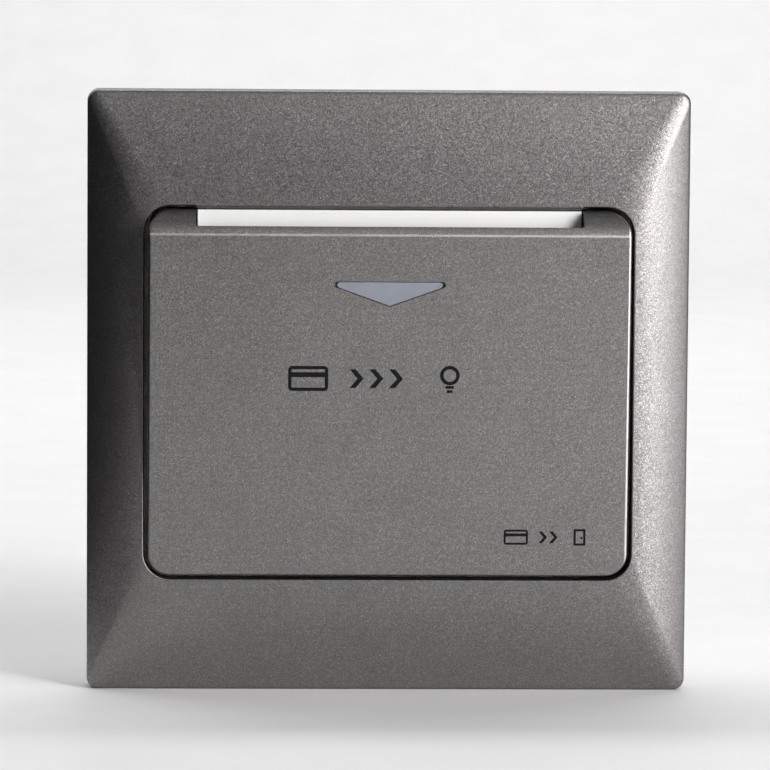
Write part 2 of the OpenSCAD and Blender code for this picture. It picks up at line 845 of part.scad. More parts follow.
module card_lever() {
    spring_room = coil_r + spring_wire + part_gap;
    wing_top = pad_z + pad_h / 2;
    wing_foot = pad_z - pad_h / 2;
    color("#e9e9e6")
        difference() {
            union() {
                along_x(-lever_w / 2, -lever_w / 2 + hub_l) {
                    translate(pivot)
                        circle(hub_r);
                    arm_outline();
                }
                along_x(-lever_w / 2, lever_w / 2)
                    intersection() {
                        arm_outline();
                        translate([-hood_d, nose_z - 2 * nose_r])
                            square([2 * hood_d, pivot_z - spring_room - nose_z + 2 * nose_r]);
                    }
                leaning_slab(-wing_w / 2, wing_w / 2, wing_foot, wing_top,
                    back_t + lead_gap, back_t + lead_gap + wing_t);
                block([-pad_w / 2, depth_y(pad_z, back_t + wing_t), wing_foot], [pad_w / 2, pad_y, wing_top]);
            }
            translate([-lever_w, pivot[0], pivot_z])
                rotate([0, 90, 0])
                    cylinder(r = pin_r + running, h = 2 * lever_w);
        }
}

module lever_pin() {
    color("#c8c8cc")
        translate([-ear_x - ear_t, pivot[0], pivot_z])
            rotate([0, 90, 0])
                cylinder(r = pin_r, h = 2 * (ear_x + ear_t));
}

// Path of the spring wire: up the lever, round the pin, forward over the ledge
spring_path = concat(
    [for (i = [2:-1:1]) [coil_x, pivot[0] + coil_r, pivot_z - spring_leg * i / 2]],
    [for (i = [0:coil_rings * (spring_turns + 0.25)])
        let (turn = i / coil_rings)
        [
            coil_x + coil_pitch * turn,
            pivot[0] + coil_r * cos(360 * turn),
            pivot_z + coil_r * sin(360 * turn)
        ]],
    [for (i = [1, 2])
        let (
            start = pivot[0],
            end = depth_y(pivot_z + coil_r, back_t) + spring_wire / 2 + lead_gap
        )
        [coil_x + coil_pitch * (spring_turns + 0.25), start + (end - start) * i / 2, pivot_z + coil_r]]
);

function ring_way(path, i) =
    let (d = path[min(i + 1, len(path) - 1)] - path[max(i - 1, 0)]) d / norm(d);

// Ring of points round the path; the X axis never lies along the wire, so it steadies the ring
function wire_ring(path, i, r, sides) =
    let (
        way = ring_way(path, i),
        u = cross(way, [1, 0, 0]) / norm(cross(way, [1, 0, 0])),
        v = cross(way, u)
    )
    [for (k = [0:sides - 1]) path[i] + r * (cos(360 * k / sides) * u + sin(360 * k / sides) * v)];

module wire_tube(path, r, sides) {
    n = len(path);
    points = [for (i = [0:n - 1]) each wire_ring(path, i, r, sides)];
    sides_faces = [
        for (i = [0:n - 2], k = [0:sides - 1])
            let (a = i * sides + k, b = i * sides + (k + 1) % sides)
            each [[a, a + sides, b], [b, a + sides, b + sides]]
    ];
    caps = [
        for (k = [1:sides - 2])
            each [[0, k, k + 1], [(n - 1) * sides, (n - 1) * sides + k + 1, (n - 1) * sides + k]]
    ];
    polyhedron(points, concat(sides_faces, caps));
}

// Least gap of the wire to itself, on points that are at least half a turn apart
spring_self_gap = min([
    for (i = [0:len(spring_path) - 1], j = [i + coil_rings / 2:1:len(spring_path) - 1])
        norm(spring_path[i] - spring_path[j])
]) - spring_wire;
echo(spring_self_gap = spring_self_gap);

module lever_spring() {
    color("#b9bcc2")
        wire_tube(spring_path, spring_wire / 2, coil_sides);
}

// Leads through the board, from a part's underside to a little past the far face
module leads(places, y0, y1) {
    for (p = places)
        translate([p[0], y1, p[1]])
            rotate([90, 0, 0])
                cylinder(r = lead_r, h = y1 - y0);
}

// A boxed part that stands on the board's back, with its leads
module boxed_part(x, z, l, w, h, places) {
    block([x - l / 2, board_back_y, z - w / 2], [x + l / 2, board_back_y + h, z + w / 2]);
    leads(places, board_y - lead_tip, board_back_y + merge);
}

// A round part that stands on the board's back, with its leads
module round_part(x, z, r, h, places) {
    translate([x, board_back_y + h, z])
        rotate([90, 0, 0])
            cylinder(r = r, h = h);
    leads(places, board_y - lead_tip, board_back_y + merge);
}

// A part that lies on the board's back, its two wires bent down into the board
module axial_part(x, z, d, l) {
    axis_y = board_back_y + d / 2 + led_gap;
    bend = l / 2 + part_gap / 2;
    translate([x, axis_y, z - l / 2])
        cylinder(d = d, h = l);
    translate([x, axis_y, z - bend])
        cylinder(r = lead_r, h = 2 * bend);
    for (s = [-1, 1])
        translate([x, axis_y, z + s * bend])
            sphere(lead_r);
    leads([for (s = [-1, 1]) [x, z + s * bend]], board_y - lead_tip, axis_y);
}

module switch_body() {
    color("#2b2b2e")
        difference() {
            union() {
                block([-plunger_side - switch_l / 2, switch_front_y, pad_z - switch_w / 2],
                    [-plunger_side + switch_l / 2, board_y, pad_z + switch_w / 2]);
                leads(switch_leads, board_y - merge, board_back_y - lead_gap);
            }
            translate([0, switch_front_y + plunger_in + plunger_travel, pad_z])
                rotate([90, 0, 0])
                    cylinder(r = plunger_r + running, h = plunger_in + plunger_travel + cut);
        }
}

module switch_plunger() {
    color("#b03a2e")
        translate([0, plunger_top_y + plunger_r, pad_z]) {
            rotate([-90, 0, 0])
                cylinder(r = plunger_r, h = plunger_out + plunger_in - plunger_r);
            sphere(plunger_r);
        }
}

module light_pipe() {
    z0 = arrow_mid_z - pipe_h / 2;
    z1 = arrow_mid_z + pipe_h / 2;
    rear = board_y - led_size[1] - led_gap;
    color("#dfe8ee")
        union() {
            along_x(-pipe_w / 2, pipe_w / 2)
                polygon([
                    [depth_y(z0, guide_t + lens_recess), z0], [depth_y(z1, guide_t + lens_recess), z1],
                    [rear, z1], [rear, z0]
                ]);
            leaning_slab(-pipe_w / 2 - shoulder, pipe_w / 2 + shoulder, z0 - shoulder, z1 + shoulder,
                back_t, back_t + shoulder_t);
        }
}

module status_leds() {
    color("#f3f6ff")
        for (s = [-1, 1])
            translate([s * led_x, board_y - led_size[1] / 2, arrow_mid_z])
                cube(led_size, center = true);
}

module main_board() {
    color("#2f7a4b")
        difference() {
            along_y(board_y, board_back_y)
                difference() {
                    square([board_w, board_h], center = true);
                    for (sx = [-1, 1], sz = [-1, 1])
                        translate([sx * column_x, sz * column_z])
                            circle(column_r + base_gap);
                    for (s = [-1, 1])
                        translate([s * post_x, 0])
                            circle(board_screw_r + screw_gap);
                    for (p = all_leads)
                        translate(p)
                            circle(lead_r + lead_gap);
                    for (x = way_x)
                        translate([x, cage_z])
                            circle(tail_r + lead_gap);
                }
        }
}

module relay() {
    color("#2c5fa8")
        boxed_part(0, relay_z, relay_l, relay_fit, relay_h, relay_leads);
}

module dropper_capacitor() {
    color("#d9b44a")
        boxed_part(film_x, row_two + film_fit / 2, film_l, film_fit, film_h, film_leads);
}

module smoothing_capacitor() {
    color("#23272e")
        round_part(can_x, row_two + can_fit / 2, can_fit / 2, can_h, can_leads);
}

module varistor() {
    disc_y = board_back_y + part_gap + varistor_d / 2;
    color("#3b6fb5")
        union() {
            translate([varistor_x, disc_y, row_three])
                cylinder(d = varistor_d, h = varistor_fit);
            leads(varistor_leads, board_y - lead_tip, disc_y);
        }
}

module fuse() {
    color("#8a3b2f")
        round_part(fuse_x, row_three + fuse_fit / 2, fuse_fit / 2, fuse_h, fuse_leads);
}

module rectifier() {
    color("#222222")
        boxed_part(bridge_x, row_three + bridge_fit / 2, bridge_l, bridge_fit, bridge_h, bridge_leads);
}

module surge_resistors() {
    color("#c9b28a")
        for (x = resistor_x)
            axial_part(x, axial_z, resistor_d, resistor_fit);
}

module flyback_diode() {
    color("#333333")
        axial_part(-side_x, diode_z, diode_d, diode_l);
}

// Half-round case with a flat front, lifted off the board on its leads
module driver_transistor() {
    foot = board_back_y + part_gap;
    color("#26262a")
        union() {
            along_y(foot, foot + transistor_h)
                intersection() {
                    translate([side_x, transistor_z])
                        circle(transistor_r);
                    translate([side_x - transistor_r, transistor_z - transistor_r * 0.6])
                        square(2 * transistor_r);
                }
            leads(transistor_leads, board_y - lead_tip, foot + merge);
        }
}

module controller_chip() {
    half = chip_size / 2;
    color("#1e1e20")
        union() {
            translate([chip_at[0], board_y - half[1], chip_at[1]])
                cube(chip_size, center = true);
            for (i = [0:chip_legs - 1], s = [-1, 1])
                translate([
                    chip_at[0] + (i - (chip_legs - 1) / 2) * chip_size[0] / chip_legs,
                    board_y - chip_leg[1] / 2,
                    chip_at[1] + s * half[2]
                ])
                    cube([chip_leg[0], chip_leg[1], 2 * chip_leg[2]], center = true);
        }
}

module terminal_block() {
    inner_bottom_z = -housing_h / 2 + housing_wall + slip;
    color("#3a3a3d")
        difference() {
            union() {
                block([-block_w / 2, board_back_y, inner_bottom_z], [block_w / 2, block_back_y, block_top]);
                block([-block_w / 2, tray_front_y, block_bottom], [block_w / 2, block_back_y, block_top]);
            }
            for (x = way_x) {
                block([x - cage_w / 2 - cage_gap, cage_front_y - cage_gap, cage_z - cage_h / 2 - cage_gap],
                    [x + cage_w / 2 + cage_gap, cage_back_y + cage_gap, cage_z + cage_h / 2 + cage_gap]);
                translate([x, entry_y, block_bottom - cut])
                    cylinder(r = entry_r, h = cage_z - block_bottom + cut);
                translate([x, block_back_y + cut, cage_z])
                    rotate([90, 0, 0])
                        cylinder(r = clamp_head_r + slip, h = block_back_y - clamp_head_y + seat_gap + cut);
                translate([x, block_back_y, cage_z])
                    rotate([90, 0, 0])
                        cylinder(r = clamp_screw_r + slip, h = block_back_y - cage_back_y);
                translate([x, cage_front_y, cage_z])
                    rotate([90, 0, 0])
                        cylinder(r = tail_r + lead_gap, h = cage_front_y - board_back_y + cut);
            }
        }
}

// Brass cage of a way: wire passage along Z, threaded back wall, tail down into the board
module terminal_clamp(x) {
    difference() {
        union() {
            block([x - cage_w / 2, cage_front_y, cage_z - cage_h / 2],
                [x + cage_w / 2, cage_back_y, cage_z + cage_h / 2]);
            translate([x, cage_front_y + merge, cage_z])
                rotate([90, 0, 0])
                    cylinder(r = tail_r, h = cage_front_y + merge - board_y + lead_tip);
        }
        block([x - cage_pass, cage_front_y + cage_wall, cage_z - cage_h / 2 - cut],
            [x + cage_pass, cage_back_y - 2 * cage_wall, cage_z + cage_h / 2 + cut]);
        translate([x, cage_back_y + cut, cage_z])
            rotate([90, 0, 0])
                cylinder(r = clamp_screw_r + running, h = 2 * cage_wall + 2 * cut);
    }
}

module terminal_clamps() {
    color("#c9a24a")
        for (x = way_x)
            terminal_clamp(x);
}

// A screw along Y: head towards the back, one slot across it
module back_screw(seat_y, end_y, r, head_r, head_h) {
    difference() {
        union() {
            translate([0, seat_y + merge, 0])
                rotate([90, 0, 0])
                    cylinder(r = r, h = seat_y + merge - end_y);
            translate([0, seat_y + head_h, 0])
                rotate([90, 0, 0])
                    cylinder(r = head_r, h = head_h);
        }
        block([-head_r - cut, seat_y + head_h / 2, -driver_slot / 2],
            [head_r + cut, seat_y + head_h + cut, driver_slot / 2]);
    }
}

module terminal_screws() {
    color("#c4c6c9")
        for (x = way_x)
            translate([x, 0, cage_z])
                back_screw(clamp_head_y, cage_back_y - 3 * cage_wall, clamp_screw_r,
                    clamp_head_r, clamp_head_h);
}

module rear_housing() {
    vent_step = (housing_w - 4 * column_r) / vent_count;
    vent_front = board_back_y + part_gap;
    vent_back = housing_d - housing_wall - part_gap;
    color("#efefec")
        difference() {
            along_y(0, housing_d)
                rounded_rect(housing_w, housing_h, housing_r);
            along_y(-cut, housing_d - housing_wall)
                difference() {
                    rounded_rect(housing_w - 2 * housing_wall, housing_h - 2 * housing_wall,
                        max(housing_r - housing_wall, merge));
                    for (sx = [-1, 1], sz = [-1, 1])
                        translate([sx * column_x, sz * column_z])
                            circle(column_r);
                }
            for (sx = [-1, 1], sz = [-1, 1])
                translate([sx * column_x, housing_d + cut, sz * column_z])
                    rotate([90, 0, 0]) {
                        cylinder(r = screw_r + screw_gap, h = housing_d + 2 * cut);
                        cylinder(r = screw_head_r + 2 * screw_gap, h = housing_d - screw_seat + cut);
                    }
            block([-block_w / 2 - slip, tray_front_y - slip, -housing_h / 2 - cut],
                [block_w / 2 + slip, housing_d + cut, block_top + slip]);
            for (i = [0:vent_count - 1])
                translate([
                    (i - (vent_count - 1) / 2) * vent_step - vent_w / 2,
                    vent_front,
                    housing_h / 2 - housing_wall - cut
                ])
                    cube([vent_w, vent_back - vent_front, housing_wall + 2 * cut]);
        }
}

module housing_screws() {
    color("#b8babd")
        for (sx = [-1, 1], sz = [-1, 1])
            translate([sx * column_x, 0, sz * column_z])
                back_screw(screw_seat, screw_end_y, screw_r, screw_head_r, screw_head_h);
}

module board_screws() {
    color("#b8babd")
        for (s = [-1, 1])
            translate([s * post_x, 0, 0])
                back_screw(board_back_y, board_y - board_screw_l + merge, board_screw_r,
                    board_screw_head_r, board_screw_head_h);
}

outer_frame();
hood_panel();
arrow_lens();
card_guide();
base_plate();
card_lever();
lever_pin();
lever_spring();
switch_body();
switch_plunger();
light_pipe();
status_leds();
main_board();
relay();
dropper_capacitor();
smoothing_capacitor();
varistor();
rectifier();
surge_resistors();
fuse();
driver_transistor();
flyback_diode();
controller_chip();
terminal_block();
terminal_clamps();
terminal_screws();
rear_housing();
housing_screws();
board_screws();
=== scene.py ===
"""Dresses the hotel key card switch: painted frame and hood, moulded whites, terminals and studio."""
import json
import math
import bpy
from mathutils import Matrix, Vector
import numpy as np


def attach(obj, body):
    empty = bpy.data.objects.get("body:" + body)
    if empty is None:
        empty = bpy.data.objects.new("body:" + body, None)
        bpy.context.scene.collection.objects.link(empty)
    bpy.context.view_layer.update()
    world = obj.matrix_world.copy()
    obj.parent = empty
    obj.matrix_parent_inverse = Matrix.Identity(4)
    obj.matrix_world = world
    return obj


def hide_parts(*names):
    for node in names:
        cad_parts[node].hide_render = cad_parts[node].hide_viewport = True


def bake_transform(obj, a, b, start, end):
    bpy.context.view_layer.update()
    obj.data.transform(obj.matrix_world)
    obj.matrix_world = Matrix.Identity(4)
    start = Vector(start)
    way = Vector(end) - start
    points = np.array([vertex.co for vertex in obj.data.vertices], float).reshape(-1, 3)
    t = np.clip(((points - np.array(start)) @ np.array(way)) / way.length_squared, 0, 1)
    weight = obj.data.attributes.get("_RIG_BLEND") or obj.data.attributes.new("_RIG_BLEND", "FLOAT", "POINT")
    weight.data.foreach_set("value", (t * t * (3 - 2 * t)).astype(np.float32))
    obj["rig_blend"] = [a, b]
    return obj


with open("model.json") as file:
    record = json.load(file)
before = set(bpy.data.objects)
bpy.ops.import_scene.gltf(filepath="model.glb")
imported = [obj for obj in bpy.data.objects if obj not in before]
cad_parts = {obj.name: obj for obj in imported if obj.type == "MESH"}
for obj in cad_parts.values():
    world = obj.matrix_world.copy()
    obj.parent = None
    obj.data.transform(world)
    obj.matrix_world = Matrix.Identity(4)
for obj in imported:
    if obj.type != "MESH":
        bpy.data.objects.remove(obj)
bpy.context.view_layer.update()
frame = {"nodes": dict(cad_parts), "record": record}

# Sizes in millimetres, as in the construction, and a millimetre in the scene's metres
MM = 0.001

# Frame
FRAME_HALF = 43.0
FRAME_CORNER = 1.6
SIDE_DEPTH = 5.5
CROWN = 3.5
BORDER_LEAN = 7.0
FRONT = SIDE_DEPTH + CROWN
WALL = 2.0
OPEN_W = 34.85
OPEN_H = 26.7
OPEN_CORNER = 3.8
COLLAR_DEPTH = 4.0
COLLAR_WALL = 1.4
LIP = 0.45
LIP_ROUND = 0.6
LIP_DEEP = 1.5
LIP_BITE = 0.3
RIM = 0.15
RIM_SINK = 0.012
REAR_ROUND = 0.2
REAR_EASE = 0.06
INNER_ROUND = 0.12
INNER_CORNER = 0.4
NOTCH_HALF = 4.5
NOTCH_DEEP = 1.6

# Hood and card slot
SLOT_HALF = 27.5
HOOD_W = 34.25
HOOD_H = 26.1
HOOD_CORNER = 3.2
HOOD_WALL = 1.4
HOOD_BACK = -2.0
HOOD_RISE = 4.0
RIDGE = Vector((0, -13.0, 22.8))
TOP_EDGE = Vector((0, -9.4, 26.1))
LEAN = HOOD_RISE / (RIDGE.z + HOOD_H)
DRAFT = math.tan(math.radians(2))
NECK = 21.6
MOUTH = 23.955
MOUTH_WALL = 0.65
MOUTH_ROUND = 0.3
BAND_BOW = 0.65
EDGE_ROUND = 0.3
RIDGE_SOFT = 0.12

# Arrow window
ARROW_TOP = 16.2
ARROW_HALF = 7.9
ARROW_TALL = 3.6
ARROW_ROUND = 0.45
ARROW_TIP = 0.03
ARROW_SEAT = 0.6

# Torsion spring
PIN_AXIS = Vector((0.4, -3.47033, 8.0))
COIL = 1.8
COIL_TURNS = 3.25
COIL_PITCH = 0.85
COIL_STEPS = 78
WIRE = 0.2
SPRING_LEGS = (6.0, 2.447)
SPRING_HOLD = 0.25

# Width of the strip that keeps flat faces flat beside a rounded edge, and how far cutting blocks reach past
SUPPORT = 0.1
OVERCUT = 1.0

# Rings of the frame's soft outer edge: in from the sides, in from top and bottom, behind the side's front
OUTER_EDGE = ((0.22, 0.36, -0.16), (0.10, 0.19, 0), (0.03, 0.07, 0.23), (0, 0, 0.6))

# Printed signs on the hood's face: height of each row, and where its signs stand from left to right
UPPER_ROW = 2.35
UPPER_CARD = -11.5
UPPER_CARD_TALL = 3.6
UPPER_ARROWS = (-5.2, -2.4, 0.4)
UPPER_ARROW_LINE = 0.85
UPPER_ARROW_TALL = 2.7
LAMP_SIGN = 8.6
LOWER_ROW = -20.5
LOWER_CARD = 18.3
LOWER_CARD_TALL = 2.2
LOWER_ARROWS = (21.8, 23.3)
LOWER_ARROW_LINE = 0.52
LOWER_ARROW_TALL = 1.7
DOORWAY_SIGN = 27.4
SIGN_FILM = 0.03

# Paint: flakes in a metre, how far they tip, and how much lighter the hood's coat is painted, as painted
# light on the hood
FLAKES = 10000
FLAKE_TIP = 0.18
HOOD_PAINTED_LIGHT = 1.08

# Painted highlights on the hood's ridge and right edge: two crossing belts, as axis, start, end and fade, and
# the painted highlight colour there
PAINTED_HIGHLIGHTS = (
    (("Z", 22.70, 22.86, 0.14), ("Y", -13.4, -12.6, 0.3), (0.56, 0.54, 0.535)),
    (("X", 33.90, 34.06, 0.14), ("Y", -13.4, -9.3, 0.3), (0.62, 0.595, 0.59)),
)

# Edge rounding of the moulded and turned pieces
EASED = {
    "rear_housing": 0.5,
    "base_plate": 0.2,
    "terminal_block": 0.3,
    "card_guide": 0.3,
    "card_lever": 0.2,
    "housing_screws": 0.2,
    "terminal_screws": 0.15,
}

# Studio, in metres and watts
FLOOR_PLACE = (0.35, 0.2)
FLOOR_SIZE = (1.0, 1.4)
FLOOR_NARROWING = 0.10
SWEEP = 0.5
BACKDROP = 1.2
LAMPS = (
    # name, place, aim, size, power
    ("key_box", (0.53, -0.70, 0.22), (0, 0, 0), (0.19, 0.9), 9.0),
    ("side_box", (0.99, -0.62, 0.30), (0, 0, 0), (0.40, 1.0), 7.2),
    ("front_box", (0, -0.90, 0.90), (0, 0, 0), (0.8, 0.4), 1.1),
    ("top_box", (0.10, 0.05, 0.80), (0, 0, 0), (0.9, 0.4), 0.5),
    ("back_box", (0, 0.50, 0.80), (0, 0, 0), (0.9, 0.4), 1.1),
    ("shadow_fill", (-0.45, 0.30, 0.40), (-0.16, 0.12, -0.043), (0.4, 0.3), 0.75),
    ("paper_lamp", (0, 0.55, 1.1), (0, 1.2, 0.1), (1.8, 0.4), 14.7),
)

# Camera, in metres and radians; its sensor in millimetres, its focal length in the photograph's pixels
CAMERA_PLACE = (-0.0216, -0.6865, 0.06085)
CAMERA_YAW, CAMERA_PITCH, CAMERA_ROLL = 0.0311, -0.0877, 0.0071
SENSOR = 36
PHOTO_PIXELS = 770
FOCAL_PIXELS = 4780.7


def face_y(z, behind=0.0):
    """Depth of a plane that lies a given distance behind the hood's leaning face."""
    return -FRONT - LEAN * (z + HOOD_H) + behind * math.hypot(1, LEAN)


# Modelling helpers

def clear_selection():
    """Leaves edit mode and deselects everything."""
    if bpy.context.object and bpy.context.object.mode != "OBJECT":
        bpy.ops.object.mode_set(mode="OBJECT")
    bpy.ops.object.select_all(action="DESELECT")


def work_on(obj):
    clear_selection()
    obj.select_set(True)
    bpy.context.view_layer.objects.active = obj


def pick(obj, verts=None, edges=None, faces=None):
    """Goes into edit mode with the named verts, edges or faces selected."""
    work_on(obj)
    mesh = obj.data
    for group in (mesh.vertices, mesh.edges, mesh.polygons):
        for item in group:
            item.select = False
    for chosen in (verts, edges, faces):
        for item in chosen or ():
            item.select = True
    bpy.context.tool_settings.mesh_select_mode = (verts is not None, edges is not None, faces is not None)
    bpy.ops.object.mode_set(mode="EDIT")


def whole(obj):
    work_on(obj)
    bpy.ops.object.mode_set(mode="EDIT")
    bpy.ops.mesh.select_all(action="SELECT")


def leave():
    bpy.ops.object.mode_set(mode="OBJECT")


def box_blank(name, low, high):
    """A cube brought to its size and place."""
    clear_selection()
    low, high = Vector(low), Vector(high)
    bpy.ops.mesh.primitive_cube_add(size=1, location=(low + high) / 2)
    obj = bpy.context.object
    obj.name = name
    obj.scale = high - low
    bpy.ops.object.transform_apply(location=True, rotation=True, scale=True)
    return obj


def slice_off(obj, point, normal):
    """Cuts away what lies on the normal's side of a plane and closes the cut."""
    whole(obj)
    bpy.ops.mesh.bisect(plane_co=point, plane_no=Vector(normal).normalized(),
                        use_fill=True, clear_outer=True, threshold=1e-5)
    leave()


def round_edges(obj, edges, width, segments):
    pick(obj, edges=edges)
    bpy.ops.mesh.bevel(offset=width, offset_type="OFFSET", segments=segments, profile=0.5, affect="EDGES",
                       clamp_overlap=False)
    leave()


def join_solid(obj, other, how):
    """Adds the other solid or cuts it out, then clears it away."""
    work_on(obj)
    tool = obj.modifiers.new(how.lower(), "BOOLEAN")
    tool.operation = how
    tool.solver = "EXACT"
    tool.object = other
    bpy.ops.object.modifier_apply(modifier=tool.name)
    bpy.data.objects.remove(other, do_unlink=True)


def close_up(obj, merge=1e-4):
    """Merges doubles and turns every face outwards."""
    whole(obj)
    bpy.ops.mesh.remove_doubles(threshold=merge)
    bpy.ops.mesh.normals_make_consistent(inside=False)
    leave()


def to_metres(obj):
    work_on(obj)
    obj.scale = (MM, MM, MM)
    bpy.ops.object.transform_apply(location=True, rotation=True, scale=True)


def finish_piece(obj, body, material, smooth_below=None):
    """Gives a piece its shading, its finish, and its body where it rides on one alone."""
    work_on(obj)
    if smooth_below:
        bpy.ops.object.shade_smooth_by_angle(angle=math.radians(smooth_below))
    obj.data.materials.clear()
    obj.data.materials.append(material)
    if body:
        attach(obj, body)


# Painted frame: rings of rounded rectangles, bridged one to the next

def crown_depth(share):
    """Height of the border over the wall, from the opening (0) to the outer edge (1)."""
    heights = []
    for border in (FRAME_HALF - OPEN_W, FRAME_HALF - OPEN_H):
        inner = math.atan(math.tan(math.radians(BORDER_LEAN)) * (FRAME_HALF - OPEN_W) / border)
        outer = 2 * math.atan(CROWN / border) - inner
        bow = border / (math.sin(outer) - math.sin(inner))
        along = bow * math.sin(inner) + border * share
        heights.append(math.sqrt(bow ** 2 - along ** 2) - bow * math.cos(outer))
    return SIDE_DEPTH + sum(heights) / 2


def frame_rings():
    """Half width, half height, corner radius and depth of each ring, once round the frame's wall."""
    rings = []
    # Rounded rim of the opening, and a ring close beside it
    for turn in (0, 30, 60, 85):
        out = RIM * (1 - math.cos(math.radians(turn)))
        rings.append((OPEN_W + out, OPEN_H + out, OPEN_CORNER + out,
                      -FRONT + RIM_SINK + RIM * (1 - math.sin(math.radians(turn)))))
    rings.append((OPEN_W + 0.22, OPEN_H + 0.26, OPEN_CORNER + 0.22, -FRONT + 0.02))
    # Bowed border
    steps = 20
    for i in range(1, steps):
        share = i / steps
        rings.append((
            OPEN_W + (FRAME_HALF - OPEN_W) * share,
            OPEN_H + (FRAME_HALF - OPEN_H) * share,
            OPEN_CORNER + (FRAME_CORNER - OPEN_CORNER) * share,
            -crown_depth(share),
        ))
    # Outer edge, side, rear edge and inner side
    full = FRAME_HALF
    under = FRAME_HALF - WALL
    for aside, above, behind in OUTER_EDGE:
        rings.append((full - aside, full - above, FRAME_CORNER, -SIDE_DEPTH + behind))
    rings += [
        (full, full, FRAME_CORNER, -REAR_ROUND),
        (full - REAR_EASE, full - REAR_EASE, FRAME_CORNER, -REAR_EASE),
        (full - REAR_ROUND, full - REAR_ROUND, FRAME_CORNER - REAR_ROUND, 0),
        (under + INNER_ROUND, under + INNER_ROUND, INNER_CORNER + 0.1, -0.02),
        (under, under, INNER_CORNER, -INNER_ROUND),
        (under, under, INNER_CORNER, -SIDE_DEPTH + 1.3),
    ]
    # Underside of the border and collar round the opening
    for share in (0.8, 0.6, 0.4, 0.2):
        rings.append((
            OPEN_W + COLLAR_WALL + (under - OPEN_W - COLLAR_WALL) * share,
            OPEN_H + COLLAR_WALL + (under - OPEN_H - COLLAR_WALL) * share,
            OPEN_CORNER + COLLAR_WALL + (INNER_CORNER - OPEN_CORNER - COLLAR_WALL) * share,
            -crown_depth(share) + WALL,
        ))
    rings += [
        (OPEN_W + COLLAR_WALL, OPEN_H + COLLAR_WALL, OPEN_CORNER + COLLAR_WALL, -FRONT + WALL + 0.05),
        (OPEN_W + COLLAR_WALL, OPEN_H + COLLAR_WALL, OPEN_CORNER + COLLAR_WALL, -FRONT + COLLAR_DEPTH),
        (OPEN_W, OPEN_H, OPEN_CORNER, -FRONT + COLLAR_DEPTH - 0.05),
    ]
    return rings


def loft_rings(name, rings, segments=10, closed=True):
    """Rounded rectangles in the order given, bridged into a ring-shaped wall or a capped block."""
    clear_selection()
    bpy.ops.mesh.primitive_plane_add(size=2, location=(0, 0, 0))
    obj = bpy.context.object
    obj.name = name
    bpy.ops.object.mode_set(mode="EDIT")
    bpy.ops.mesh.delete(type="VERT")
    for half_w, half_h, corner, depth in rings:
        bpy.ops.mesh.select_all(action="DESELECT")
        bpy.ops.mesh.primitive_plane_add(size=2, location=(0, depth, 0), rotation=(math.pi / 2, 0, 0))
        bpy.ops.transform.resize(value=(half_w, 1, half_h), center_override=(0, depth, 0))
        bpy.ops.mesh.bevel(offset=corner, offset_type="OFFSET", segments=segments, profile=0.5,
                           affect="VERTICES")
        bpy.ops.mesh.select_mode(type="VERT")
        bpy.ops.object.vertex_group_assign_new()
        bpy.ops.mesh.delete(type="ONLY_FACE")
    count = len(rings)
    for i in range(count if closed else count - 1):
        bpy.ops.mesh.select_all(action="DESELECT")
        for j in (i, (i + 1) % count):
            obj.vertex_groups.active_index = j
            bpy.ops.object.vertex_group_select()
        bpy.ops.mesh.bridge_edge_loops()
    for j in () if closed else (0, count - 1):
        bpy.ops.mesh.select_all(action="DESELECT")
        obj.vertex_groups.active_index = j
        bpy.ops.object.vertex_group_select()
        bpy.ops.mesh.edge_face_add()
    close_up(obj)
    obj.vertex_groups.clear()
    return obj


def painted_frame(paint):
    """The frame's wall with the lip over the card slot and the notch to pry it off."""
    obj = loft_rings("painted_frame", frame_rings())
    lip = box_blank("slot_lip", (-SLOT_HALF, -FRONT, OPEN_H - LIP),
                    (SLOT_HALF, -FRONT + LIP_DEEP, OPEN_H + LIP_BITE))
    corners = lip.data.vertices
    lower = [
        e for e in lip.data.edges
        if all(corners[v].co.y < -FRONT + 0.1 and corners[v].co.z < OPEN_H for v in e.vertices)
    ]
    round_edges(lip, lower, LIP_ROUND, 5)
    join_solid(obj, lip, "UNION")
    notch = box_blank("pry_notch", (-NOTCH_HALF, -NOTCH_DEEP, -FRAME_HALF - OVERCUT),
                      (NOTCH_HALF, OVERCUT, -FRAME_HALF + WALL + OVERCUT))
    join_solid(obj, notch, "DIFFERENCE")
    close_up(obj)
    to_metres(obj)
    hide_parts("outer_frame")
    finish_piece(obj, "base", paint, smooth_below=40)


# Painted hood: rings for its rounded edge, cut into strips and laid over the hood's side view

def band_points(steps):
    """The bowed band, from the ridge up to the top edge."""
    band = TOP_EDGE - RIDGE
    out = Vector((0, -band.z, band.y)).normalized()
    half = band.length / 2
    bow = (half ** 2 + BAND_BOW ** 2) / (2 * BAND_BOW)
    middle = RIDGE + band / 2 + out * (BAND_BOW - bow)
    spread = math.asin(half / bow)
    turns = [spread * (2 * i / steps - 1) for i in range(steps + 1)]
    return [middle + (out * math.cos(t) + band.normalized() * math.sin(t)) * bow for t in turns]


def hood_profile():
    """Side view of the hood's front, bottom to top: leaning face, softened ridge and bowed band."""
    band = band_points(14)
    foot = RIDGE.z - RIDGE_SOFT
    start = Vector((0, face_y(foot), foot))
    over = RIDGE.lerp(band[1], 0.4)
    ridge = [start.lerp(RIDGE, t).lerp(RIDGE.lerp(over, t), t) for t in (0, 0.25, 0.5, 0.75, 1)]
    face = [Vector((0, face_y(z), z)) for z in (-HOOD_H, foot - SUPPORT)]
    return face + ridge + band[1:]


def profile_depth(profile, z):
    """Depth of the hood's side view at a height."""
    for low, high in zip(profile, profile[1:]):
        if z <= high.z or high is profile[-1]:
            return low.y + (high.y - low.y) * (z - low.z) / (high.z - low.z)


